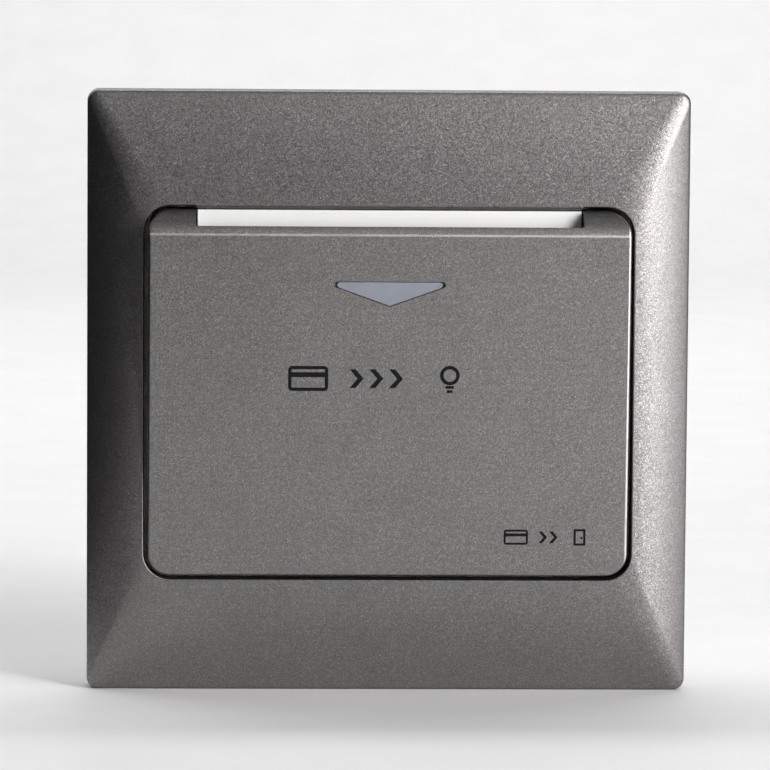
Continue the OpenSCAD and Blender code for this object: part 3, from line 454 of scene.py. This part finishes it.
def hood_shell():
    """A plate with a rounded edge, cut into strips that are then set out to the hood's side view."""
    deep, steps = 5.0, 6
    rings = [(HOOD_W, HOOD_H, HOOD_CORNER, deep)]
    for i in range(steps + 1):
        turn = math.pi / 2 * i / steps
        inset = EDGE_ROUND * (1 - math.cos(turn))
        rings.append((HOOD_W - inset, HOOD_H - inset, HOOD_CORNER - inset, EDGE_ROUND * (1 - math.sin(turn))))
    obj = loft_rings("painted_hood", rings, segments=14, closed=False)
    verts = obj.data.vertices
    pick(obj, faces=[p for p in obj.data.polygons if all(abs(verts[v].co.y) < 1e-5 for v in p.vertices)])
    bpy.ops.mesh.inset(thickness=SUPPORT, use_even_offset=True)
    profile = hood_profile()
    for point in profile[1:-1]:
        bpy.ops.mesh.select_all(action="SELECT")
        bpy.ops.mesh.bisect(plane_co=(0, 0, point.z), plane_no=(0, 0, 1), threshold=1e-5)
    leave()
    for vert in obj.data.vertices:
        if vert.co.y > deep - 1:
            vert.co.y = HOOD_BACK
            continue
        depth = profile_depth(profile, vert.co.z)
        vert.co.x *= 1 - DRAFT * max(0.0, -FRONT - depth) / HOOD_W
        vert.co.y += depth
    close_up(obj)
    return obj


def wedge(name, inset, corner, back):
    """A block with rounded corners, sliced by the leaning face, the band and the drafted sides."""
    obj = box_blank(name, (-HOOD_W + inset, RIDGE.y - 2, -HOOD_H + inset),
                    (HOOD_W - inset, back, HOOD_H - inset))
    long_edges = [
        e for e in obj.data.edges
        if abs(obj.data.vertices[e.vertices[0]].co.y - obj.data.vertices[e.vertices[1]].co.y) > 5
    ]
    round_edges(obj, long_edges, corner, 10)
    slice_off(obj, (0, face_y(0, inset), 0), (0, -1, -LEAN))
    band = TOP_EDGE - RIDGE
    out = Vector((0, -band.z, band.y)).normalized()
    slice_off(obj, RIDGE - out * inset, out)
    for side in (-1, 1):
        slice_off(obj, (side * (HOOD_W - inset), -FRONT, 0), (side, -DRAFT, 0))
    return obj


def lay_on_face(obj, z):
    """Turns a piece drawn flat onto the hood's leaning face, its origin at the given height."""
    work_on(obj)
    obj.rotation_euler = (math.pi / 2 + math.atan(LEAN), 0, 0)
    obj.location = (0, face_y(z), z)
    bpy.ops.object.transform_apply(location=True, rotation=True, scale=True)


def arrow_block(name, growth, low, high):
    """A down-pointing arrow with rounded upper corners, standing on the hood's face."""
    run, rise = ARROW_HALF - ARROW_ROUND, ARROW_TALL - ARROW_ROUND
    slope = math.atan2(rise, run) - math.asin(ARROW_ROUND / math.hypot(run, rise))
    reach = ARROW_TALL / math.tan(slope)
    middle = ARROW_TALL * reach / (reach + math.hypot(reach, ARROW_TALL))
    level, thick = (low + high) / 2, high - low
    left_end, tip_end = (-run, -ARROW_ROUND, level), (0, ARROW_TIP - ARROW_TALL, level)
    clear_selection()
    bpy.ops.mesh.primitive_cylinder_add(vertices=24, radius=ARROW_ROUND, depth=thick, location=(0, 0, 0))
    obj = bpy.context.object
    obj.name = name
    whole(obj)
    bpy.ops.transform.translate(value=(run, -ARROW_ROUND, level))
    bpy.ops.mesh.primitive_cylinder_add(vertices=24, radius=ARROW_ROUND, depth=thick, location=left_end)
    bpy.ops.mesh.primitive_cylinder_add(vertices=8, radius=ARROW_TIP, depth=thick, location=tip_end)
    bpy.ops.mesh.select_all(action="SELECT")
    bpy.ops.mesh.convex_hull()
    bpy.ops.mesh.dissolve_limited(angle_limit=math.radians(1))
    scale = 1 + growth / middle
    bpy.ops.transform.resize(value=(scale, scale, 1), center_override=(0, -middle, 0))
    leave()
    lay_on_face(obj, ARROW_TOP)
    close_up(obj)
    return obj


def painted_hood(paint):
    """The hollow hood with its card slot, and the arrow's hole with a wider seat behind it."""
    obj = hood_shell()
    room = wedge("hood_room", HOOD_WALL, HOOD_CORNER - HOOD_WALL, OVERCUT)
    join_solid(obj, room, "DIFFERENCE")
    slot = box_blank("card_slot_cut", (-SLOT_HALF, RIDGE.y - 3, NECK), (SLOT_HALF, OVERCUT, HOOD_H + OVERCUT))
    flare = Vector((0, face_y(MOUTH, MOUTH_WALL) - face_y(NECK, HOOD_WALL), MOUTH - NECK))
    slice_off(slot, (0, face_y(NECK, HOOD_WALL), NECK), (0, -flare.z, flare.y))
    slice_off(slot, (0, face_y(MOUTH, MOUTH_WALL), MOUTH), (0, -1, -LEAN))
    mouth_sides = [
        e for e in slot.data.edges
        if all(slot.data.vertices[v].co.y < -8 for v in e.vertices)
        and abs(slot.data.vertices[e.vertices[0]].co.z - slot.data.vertices[e.vertices[1]].co.z) > 1
    ]
    round_edges(slot, mouth_sides, MOUTH_ROUND, 3)
    join_solid(obj, slot, "DIFFERENCE")
    inside = -HOOD_WALL - OVERCUT
    join_solid(obj, arrow_block("arrow_hole", 0, inside, OVERCUT), "DIFFERENCE")
    join_solid(obj, arrow_block("arrow_seat", ARROW_SEAT, inside, -HOOD_WALL + ARROW_SEAT), "DIFFERENCE")
    close_up(obj)
    to_metres(obj)
    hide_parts("hood_panel")
    finish_piece(obj, "base", paint, smooth_below=24)


# Torsion spring

def wound_spring(metal):
    """A wire ring wound round the pin's axis, with drawn-out legs; the first leg goes with the lever."""
    clear_selection()
    bpy.ops.mesh.primitive_circle_add(vertices=12, radius=WIRE, location=(0, COIL, 0))
    obj = bpy.context.object
    obj.name = "wound_spring"
    bpy.ops.object.transform_apply(location=True, rotation=True, scale=True)
    winding = obj.modifiers.new("winding", "SCREW")
    winding.axis = "X"
    winding.angle = math.radians(360 * COIL_TURNS)
    winding.screw_offset = COIL_PITCH * COIL_TURNS
    winding.steps = winding.render_steps = COIL_STEPS
    bpy.ops.object.modifier_apply(modifier=winding.name)
    last = COIL_PITCH * COIL_TURNS
    rims = (
        (lambda co: abs(co.z) < 1e-3 and co.x < 0.3 and co.y > 1, (0, 0, -SPRING_LEGS[0])),
        (lambda co: abs(co.y) < 1e-3 and co.x > last - 0.3 and co.z > 1, (0, -SPRING_LEGS[1], 0)),
    )
    for on_rim, leg in rims:
        verts = obj.data.vertices
        pick(obj, edges=[e for e in obj.data.edges if all(on_rim(verts[v].co) for v in e.vertices)])
        bpy.ops.mesh.extrude_region_move(TRANSFORM_OT_translate={"value": leg})
        bpy.ops.mesh.edge_face_add()
        leave()
    close_up(obj)
    work_on(obj)
    obj.location = PIN_AXIS
    bpy.ops.object.transform_apply(location=True, rotation=True, scale=True)
    to_metres(obj)
    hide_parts("lever_spring")
    finish_piece(obj, None, metal, smooth_below=50)
    first = PIN_AXIS + Vector((SPRING_HOLD, 0, 0))
    still = PIN_AXIS + Vector((last - SPRING_HOLD, 0, 0))
    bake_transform(obj, "lever", "base", start=tuple(first * MM), end=tuple(still * MM))


# Printed signs: a card, arrows and a lamp; below them a card, arrows and a doorway

def bar(x, y, width, height):
    """A filled rectangle, which stays selected."""
    bpy.ops.mesh.select_all(action="DESELECT")
    bpy.ops.mesh.primitive_plane_add(size=1, location=(x, y, 0))
    bpy.ops.transform.resize(value=(width, height, 1), center_override=(x, y, 0))


def outline(x, y, width, height, corner, line):
    """A rounded rectangle drawn as a line."""
    bar(x, y, width, height)
    bpy.ops.mesh.bevel(offset=corner, offset_type="OFFSET", segments=5, profile=0.5, affect="VERTICES")
    bpy.ops.mesh.inset(thickness=line, use_even_offset=True)
    bpy.ops.mesh.delete(type="FACE")


def circle_line(x, y, radius, line):
    bpy.ops.mesh.select_all(action="DESELECT")
    bpy.ops.mesh.primitive_circle_add(vertices=40, radius=radius, fill_type="NGON", location=(x, y, 0))
    bpy.ops.mesh.inset(thickness=line, use_even_offset=True)
    bpy.ops.mesh.delete(type="FACE")


def chevron(obj, x, y, line, height):
    """An upright bar whose middle is drawn to the right."""
    bar(x, y, line, height)
    bpy.ops.mesh.subdivide(number_cuts=1)
    leave()
    pick(obj, verts=[v for v in obj.data.vertices
                     if abs(v.co.y - y) < 0.01 and abs(v.co.x - x) < line])
    bpy.ops.transform.translate(value=(height * 0.42, 0, 0))
    bpy.ops.mesh.select_mode(type="FACE")


def card_sign(x, y, tall):
    """A card with its stripe, drawn from its height."""
    outline(x, y, tall * 1.58, tall, tall * 0.16, tall * 0.135)
    bar(x, y + tall * 0.15, tall * 1.31, tall * 0.2)


def lamp_sign(x, y):
    """A round bulb over the two bars of its cap."""
    circle_line(x, y + 0.5, 1.4, 0.5)
    bar(x, y - 1.2, 1.2, 0.4)
    bar(x, y - 1.8, 0.85, 0.4)


def doorway_sign(x, y):
    """An upright door with its knob."""
    outline(x, y, 1.7, 2.4, 0.15, 0.32)
    bar(x + 0.3, y - 0.1, 0.26, 0.3)


def printed_signs(ink):
    """Both rows drawn flat, given the thickness of print and laid on the hood."""
    clear_selection()
    bpy.ops.mesh.primitive_plane_add(size=1, location=(0, 0, 0))
    obj = bpy.context.object
    obj.name = "printed_signs"
    bpy.ops.object.mode_set(mode="EDIT")
    bpy.ops.mesh.select_mode(type="FACE")
    bpy.ops.mesh.delete(type="VERT")
    card_sign(UPPER_CARD, UPPER_ROW, UPPER_CARD_TALL)
    for x in UPPER_ARROWS:
        chevron(obj, x, UPPER_ROW, UPPER_ARROW_LINE, UPPER_ARROW_TALL)
    lamp_sign(LAMP_SIGN, UPPER_ROW)
    card_sign(LOWER_CARD, LOWER_ROW, LOWER_CARD_TALL)
    for x in LOWER_ARROWS:
        chevron(obj, x, LOWER_ROW, LOWER_ARROW_LINE, LOWER_ARROW_TALL)
    doorway_sign(DOORWAY_SIGN, LOWER_ROW)
    leave()
    film = obj.modifiers.new("film", "SOLIDIFY")
    film.thickness = SIGN_FILM
    film.offset = 0.4
    work_on(obj)
    bpy.ops.object.modifier_apply(modifier=film.name)
    lay_on_face(obj, 0)
    close_up(obj, 1e-5)
    to_metres(obj)
    finish_piece(obj, "base", ink)


# Moulded and turned pieces from the construction, with their edges broken

def eased(node, body, material, width):
    """A copy of a solid whose sharp edges are rounded a little."""
    clear_selection()
    source = frame["nodes"][node]
    obj = source.copy()
    obj.data = source.data.copy()
    obj.name = node + "_eased"
    obj.parent = None
    bpy.context.scene.collection.objects.link(obj)
    whole(obj)
    bpy.ops.mesh.remove_doubles(threshold=2e-6)
    bpy.ops.mesh.dissolve_limited(angle_limit=math.radians(0.6))
    leave()
    rounding = obj.modifiers.new("edge_rounding", "BEVEL")
    rounding.width = width * MM
    rounding.segments = 2
    rounding.limit_method = "ANGLE"
    rounding.angle_limit = math.radians(35)
    rounding.use_clamp_overlap = True
    rounding.miter_outer = "MITER_ARC"
    work_on(obj)
    bpy.ops.object.modifier_apply(modifier=rounding.name)
    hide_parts(node)
    finish_piece(obj, body, material, smooth_below=30)
    flat = obj.modifiers.new("flat_faces", "WEIGHTED_NORMAL")
    flat.keep_sharp = True
    bpy.ops.object.modifier_apply(modifier=flat.name)


# Finishes

class Finish:
    """A node material with one shader and patterns on the piece's own coordinates, in metres."""

    def __init__(self, name):
        self.material = bpy.data.materials.new(name)
        self.material.use_nodes = True
        self.nodes = self.material.node_tree.nodes
        self.links = self.material.node_tree.links
        self.shader = self.nodes["Principled BSDF"]
        self.place = self.nodes.new("ShaderNodeTexCoord").outputs["Object"]

    def set(self, **values):
        for key, value in values.items():
            self.shader.inputs[key.replace("_", " ").title().replace("Ior", "IOR")].default_value = value

    def noise(self, scale, detail, roughness=0.5):
        node = self.nodes.new("ShaderNodeTexNoise")
        node.inputs["Scale"].default_value = scale
        node.inputs["Detail"].default_value = detail
        node.inputs["Roughness"].default_value = roughness
        self.links.new(self.place, node.inputs["Vector"])
        return node.outputs["Fac"]

    def cells(self, scale):
        node = self.nodes.new("ShaderNodeTexVoronoi")
        node.inputs["Scale"].default_value = scale
        self.links.new(self.place, node.inputs["Vector"])
        return node

    def ramp(self, value, *stops):
        node = self.nodes.new("ShaderNodeValToRGB")
        marks = node.color_ramp.elements
        while len(marks) < len(stops):
            marks.new(0.5)
        for mark, (place, colour) in zip(marks, stops):
            mark.position = place
            mark.color = (*colour, 1)
        self.links.new(value, node.inputs["Fac"])
        return node.outputs["Color"]

    def mix(self, share, a, b, how="MIX"):
        node = self.nodes.new("ShaderNodeMix")
        node.data_type = "RGBA"
        node.blend_type = how
        for socket, value in ((node.inputs[0], share), (node.inputs[6], a), (node.inputs[7], b)):
            if isinstance(value, (int, float)):
                socket.default_value = value
            elif isinstance(value, tuple):
                socket.default_value = (*value, 1)
            else:
                self.links.new(value, socket)
        return node.outputs[2]

    def spread(self, value, low, high):
        node = self.nodes.new("ShaderNodeMapRange")
        node.inputs["To Min"].default_value = low
        node.inputs["To Max"].default_value = high
        self.links.new(value, node.inputs["Value"])
        return node.outputs["Result"]

    def belt(self, axis, low, high, fade):
        """One between two places along an axis, in millimetres, fading to nothing outside them."""
        split = self.nodes.new("ShaderNodeSeparateXYZ")
        self.links.new(self.place, split.inputs["Vector"])
        ends = []
        low, high, fade = low * MM, high * MM, fade * MM
        for start, stop in ((low - fade, low), (high + fade, high)):
            slope = self.nodes.new("ShaderNodeMapRange")
            slope.interpolation_type = "SMOOTHSTEP"
            slope.inputs["From Min"].default_value = start
            slope.inputs["From Max"].default_value = stop
            self.links.new(split.outputs[axis], slope.inputs["Value"])
            ends.append(slope.outputs["Result"])
        return self.times(*ends)

    def times(self, a, b):
        node = self.nodes.new("ShaderNodeMath")
        node.operation = "MULTIPLY"
        self.links.new(a, node.inputs[0])
        self.links.new(b, node.inputs[1])
        return node.outputs["Value"]

    def bump(self, height, strength, distance):
        node = self.nodes.new("ShaderNodeBump")
        node.inputs["Strength"].default_value = strength
        node.inputs["Distance"].default_value = distance
        self.links.new(height, node.inputs["Height"])
        self.links.new(node.outputs["Normal"], self.shader.inputs["Normal"])

    def feed(self, socket, value):
        self.links.new(value, self.shader.inputs[socket])


def flake_paint(name, hood_painted_light=False):
    """Warm grey metallic paint: fine flakes, each tipped its own way; on the hood a lighter coat and painted
    highlights on the ridge and right edge.
    """
    paint = Finish(name)
    flakes = paint.cells(FLAKES)
    drift = paint.noise(140, 3)
    tone = paint.ramp(
        flakes.outputs["Color"],
        (0.0, (0.155, 0.148, 0.147)),
        (0.6, (0.222, 0.212, 0.2104)),
        (1.0, (0.375, 0.358, 0.355)),
    )
    # Painted light: the hood's coat is a lighter copy of the frame's paint
    light = HOOD_PAINTED_LIGHT if hood_painted_light else 1.0
    cloud = paint.ramp(drift, (0.35, (0.95 * light,) * 3), (0.65, (light,) * 3))
    colour = paint.mix(1.0, tone, cloud, "MULTIPLY")
    # Painted highlights: the ridge and the right edge are lightened where the light catches them
    for along, across, bright in PAINTED_HIGHLIGHTS if hood_painted_light else ():
        colour = paint.mix(paint.times(paint.belt(*along), paint.belt(*across)), colour, bright)
    paint.feed("Base Color", colour)
    paint.feed("Roughness", paint.spread(paint.noise(900, 2), 0.38, 0.46))
    tip = paint.nodes.new("ShaderNodeVectorMath")
    tip.operation = "MULTIPLY_ADD"
    tip.inputs[1].default_value = (FLAKE_TIP,) * 3
    tip.inputs[2].default_value = (-FLAKE_TIP / 2,) * 3
    paint.links.new(flakes.outputs["Color"], tip.inputs[0])
    face = paint.nodes.new("ShaderNodeVectorMath")
    face.operation = "ADD"
    paint.links.new(paint.nodes.new("ShaderNodeNewGeometry").outputs["Normal"], face.inputs[0])
    paint.links.new(tip.outputs["Vector"], face.inputs[1])
    level = paint.nodes.new("ShaderNodeVectorMath")
    level.operation = "NORMALIZE"
    paint.links.new(face.outputs["Vector"], level.inputs[0])
    paint.feed("Normal", level.outputs["Vector"])
    paint.set(metallic=1.0)
    return paint.material


def moulded(name, colour, roughness, subsurface=0.0, shine=0.5):
    """Moulded plastic: a fine grain and slightly uneven gloss and shade."""
    plastic = Finish(name)
    shade = plastic.noise(220, 3)
    dark = tuple(c * 0.975 for c in colour)
    plastic.feed("Base Color", plastic.ramp(shade, (0.3, dark), (0.7, colour)))
    plastic.feed("Roughness", plastic.spread(plastic.noise(600, 2), roughness - 0.03, roughness + 0.05))
    plastic.bump(plastic.noise(1800, 2), 0.25, 0.00001)
    plastic.set(specular_ior_level=shine)
    if subsurface:
        plastic.set(subsurface_weight=subsurface, subsurface_scale=0.001)
    return plastic.material


def drawn_metal(name, colour, roughness=0.32):
    """Plated or stamped metal with faint drawing lines and tarnish."""
    metal = Finish(name)
    stretch = metal.nodes.new("ShaderNodeMapping")
    stretch.inputs["Scale"].default_value = (1, 12, 1)
    metal.links.new(metal.place, stretch.inputs["Vector"])
    metal.place = stretch.outputs["Vector"]
    lines = metal.noise(900, 4, 0.6)
    dull = tuple(c * 0.8 for c in colour)
    metal.feed("Base Color", metal.ramp(metal.noise(160, 3), (0.35, dull), (0.65, colour)))
    metal.feed("Roughness", metal.spread(lines, roughness - 0.08, roughness + 0.12))
    metal.bump(lines, 0.12, 0.00001)
    metal.set(metallic=1.0)
    return metal.material


def frosted(name, colour):
    """Frosted lens: cool grey, a little light passes, soft sparkle in its matt face."""
    lens = Finish(name)
    dull = tuple(c * 0.9 for c in colour)
    lens.feed("Base Color", lens.ramp(lens.noise(700, 3), (0.3, dull), (0.7, colour)))
    lens.feed("Roughness", lens.spread(lens.noise(2400, 2), 0.38, 0.55))
    lens.bump(lens.noise(3800, 2), 0.2, 0.00001)
    lens.set(transmission_weight=0.25, subsurface_weight=0.2, subsurface_scale=0.001)
    return lens.material


def clear_plastic(name, colour):
    """Clear moulding: smooth, with a faint unevenness of shade and gloss."""
    clear = Finish(name)
    dull = tuple(c * 0.97 for c in colour)
    clear.feed("Base Color", clear.ramp(clear.noise(90, 2), (0.3, dull), (0.7, colour)))
    clear.feed("Roughness", clear.spread(clear.noise(500, 2), 0.06, 0.16))
    clear.set(transmission_weight=0.85, ior=1.49)
    return clear.material


def solder_mask(name, colour):
    """Circuit board: green mask with copper tracks showing faintly under it."""
    board = Finish(name)
    tracks = board.nodes.new("ShaderNodeTexBrick")
    tracks.inputs["Scale"].default_value = 260
    tracks.inputs["Mortar Size"].default_value = 0.035
    turn = board.nodes.new("ShaderNodeMapping")
    turn.inputs["Rotation"].default_value = (math.pi / 2, 0, 0)
    board.links.new(board.place, turn.inputs["Vector"])
    board.links.new(turn.outputs["Vector"], tracks.inputs["Vector"])
    light = tuple(min(1.0, c * 1.5 + 0.02) for c in colour)
    board.feed("Base Color", board.mix(tracks.outputs["Fac"], colour, light))
    board.feed("Roughness", board.spread(board.noise(400, 2), 0.25, 0.4))
    board.bump(tracks.outputs["Fac"], 0.2, 0.00003)
    return board.material


# Studio

def pale_floor():
    """Pale paper, flat under the plate, swept up behind it and narrower at the left front."""
    clear_selection()
    bpy.ops.mesh.primitive_plane_add(size=1, location=(*FLOOR_PLACE, -FRAME_HALF * MM))
    floor = bpy.context.object
    floor.name = "pale_floor"
    floor.scale = (*FLOOR_SIZE, 1)
    bpy.ops.object.transform_apply(location=True, rotation=True, scale=True)
    verts = floor.data.vertices
    back = max(v.co.y for v in verts)
    pick(floor, edges=[e for e in floor.data.edges if all(verts[v].co.y > back - 0.01 for v in e.vertices)])
    steps = 16
    turn = math.pi / 2 / steps
    for i in range(steps):
        step = 2 * SWEEP * math.sin(turn / 2)
        lean = (i + 0.5) * turn
        bpy.ops.mesh.extrude_region_move(
            TRANSFORM_OT_translate={"value": (0, step * math.cos(lean), step * math.sin(lean))})
    bpy.ops.mesh.extrude_region_move(TRANSFORM_OT_translate={"value": (0, 0, BACKDROP)})
    bpy.ops.mesh.select_all(action="SELECT")
    bpy.ops.mesh.normals_make_consistent(inside=False)
    leave()
    pick(floor, verts=[v for v in floor.data.vertices if v.co.x < 0 and v.co.y < -0.4])
    bpy.ops.transform.translate(value=(FLOOR_NARROWING, 0, 0))
    leave()
    work_on(floor)
    bpy.ops.object.shade_smooth()
    paper = Finish("pale_paper")
    shade = paper.noise(60, 3)
    paper.feed("Base Color", paper.ramp(shade, (0.3, (0.80, 0.79, 0.795)), (0.7, (0.83, 0.82, 0.825))))
    paper.feed("Roughness", paper.spread(paper.noise(300, 2), 0.55, 0.7))
    floor.data.materials.append(paper.material)


def soft_light(name, place, aim, size, power):
    clear_selection()
    bpy.ops.object.light_add(type="AREA", location=place)
    light = bpy.context.object
    light.name = name
    light.data.shape = "RECTANGLE"
    light.data.size, light.data.size_y = size
    light.data.energy = power
    light.rotation_euler = (Vector(aim) - Vector(place)).to_track_quat("-Z", "Y").to_euler()


def studio():
    """A dark room with the lamps of the table; only the camera sees the pale air behind the paper."""
    bpy.context.scene.view_settings.view_transform = "Standard"
    world = bpy.data.worlds.new("studio_air")
    bpy.context.scene.world = world
    world.use_nodes = True
    nodes, links = world.node_tree.nodes, world.node_tree.links
    air = nodes["Background"]
    air.inputs["Color"].default_value = (0.10, 0.10, 0.102, 1)
    air.inputs["Strength"].default_value = 0.15
    paper = nodes.new("ShaderNodeBackground")
    paper.inputs["Color"].default_value = (0.90, 0.89, 0.905, 1)
    paths = nodes.new("ShaderNodeLightPath")
    choose = nodes.new("ShaderNodeMixShader")
    links.new(paths.outputs["Is Camera Ray"], choose.inputs["Fac"])
    links.new(air.outputs["Background"], choose.inputs[1])
    links.new(paper.outputs["Background"], choose.inputs[2])
    links.new(choose.outputs["Shader"], nodes["World Output"].inputs["Surface"])
    for lamp in LAMPS:
        soft_light(*lamp)


def photo_camera():
    """The photograph's view: a long lens, a little above and to the left of the plate's middle."""
    clear_selection()
    bpy.ops.object.camera_add(location=CAMERA_PLACE)
    camera = bpy.context.object
    camera.name = "photo_camera"
    level = math.cos(CAMERA_PITCH)
    forward = Vector((math.sin(CAMERA_YAW) * level, math.cos(CAMERA_YAW) * level, math.sin(CAMERA_PITCH)))
    camera.rotation_euler = forward.to_track_quat("-Z", "Y").to_euler()
    camera.rotation_euler.rotate_axis("Z", CAMERA_ROLL)
    camera.data.sensor_width = SENSOR
    camera.data.lens = FOCAL_PIXELS / PHOTO_PIXELS * SENSOR
    camera.data.clip_start = 0.01
    bpy.context.scene.camera = camera


def dress():
    """Makes the new pieces, and gives every solid of the construction its finish or an eased copy."""
    painted_frame(flake_paint("warm_grey_flake_paint"))
    painted_hood(flake_paint("hood_flake_paint_painted_light", hood_painted_light=True))
    printed_signs(moulded("printed_black", (0.006, 0.006, 0.007), 0.6, shine=0.12))
    finishes = {
        "frosted_lens": frosted("frosted_arrow", (0.31, 0.33, 0.38)),
        "white_plastic": moulded("white_moulding", (0.90, 0.895, 0.88), 0.42, subsurface=0.05),
        "clear_plastic": clear_plastic("clear_light_bar", (0.90, 0.94, 0.95)),
        "steel": drawn_metal("zinc_plated_steel", (0.72, 0.73, 0.75)),
        "black_plastic": moulded("black_moulding", (0.03, 0.03, 0.033), 0.42),
        "grey_plastic": moulded("dark_terminal_moulding", (0.075, 0.076, 0.08), 0.48),
        "red_plastic": moulded("red_button_moulding", (0.45, 0.04, 0.03), 0.3),
        "lamp_white": moulded("lamp_resin", (0.85, 0.86, 0.78), 0.2),
        "board_green": solder_mask("board_solder_mask", (0.02, 0.16, 0.07)),
        "relay_blue": moulded("relay_case", (0.03, 0.10, 0.34), 0.4),
        "capacitor_yellow": moulded("film_capacitor_case", (0.62, 0.36, 0.05), 0.3),
        "varistor_blue": moulded("dipped_disc", (0.04, 0.13, 0.42), 0.25),
        "resistor_tan": moulded("resistor_lacquer", (0.52, 0.38, 0.20), 0.4),
        "fuse_brown": moulded("fuse_cap", (0.20, 0.05, 0.03), 0.35),
        "brass": drawn_metal("stamped_brass", (0.80, 0.58, 0.24), 0.35),
    }
    wound_spring(finishes["steel"])
    slots = {entry["node"]: entry["material_slot"] for entry in frame["record"]["subparts"]}
    bodies = {node: body for body, nodes in frame["record"]["behaviour"]["bodies"].items() for node in nodes}
    for node, obj in frame["nodes"].items():
        if node in ("outer_frame", "hood_panel", "lever_spring"):
            continue
        slot = slots[node]
        if node in EASED:
            eased(node, bodies[node], finishes[slot], EASED[node])
            continue
        obj.data.materials.clear()
        obj.data.materials.append(finishes[slot])


dress()
pale_floor()
studio()
photo_camera()
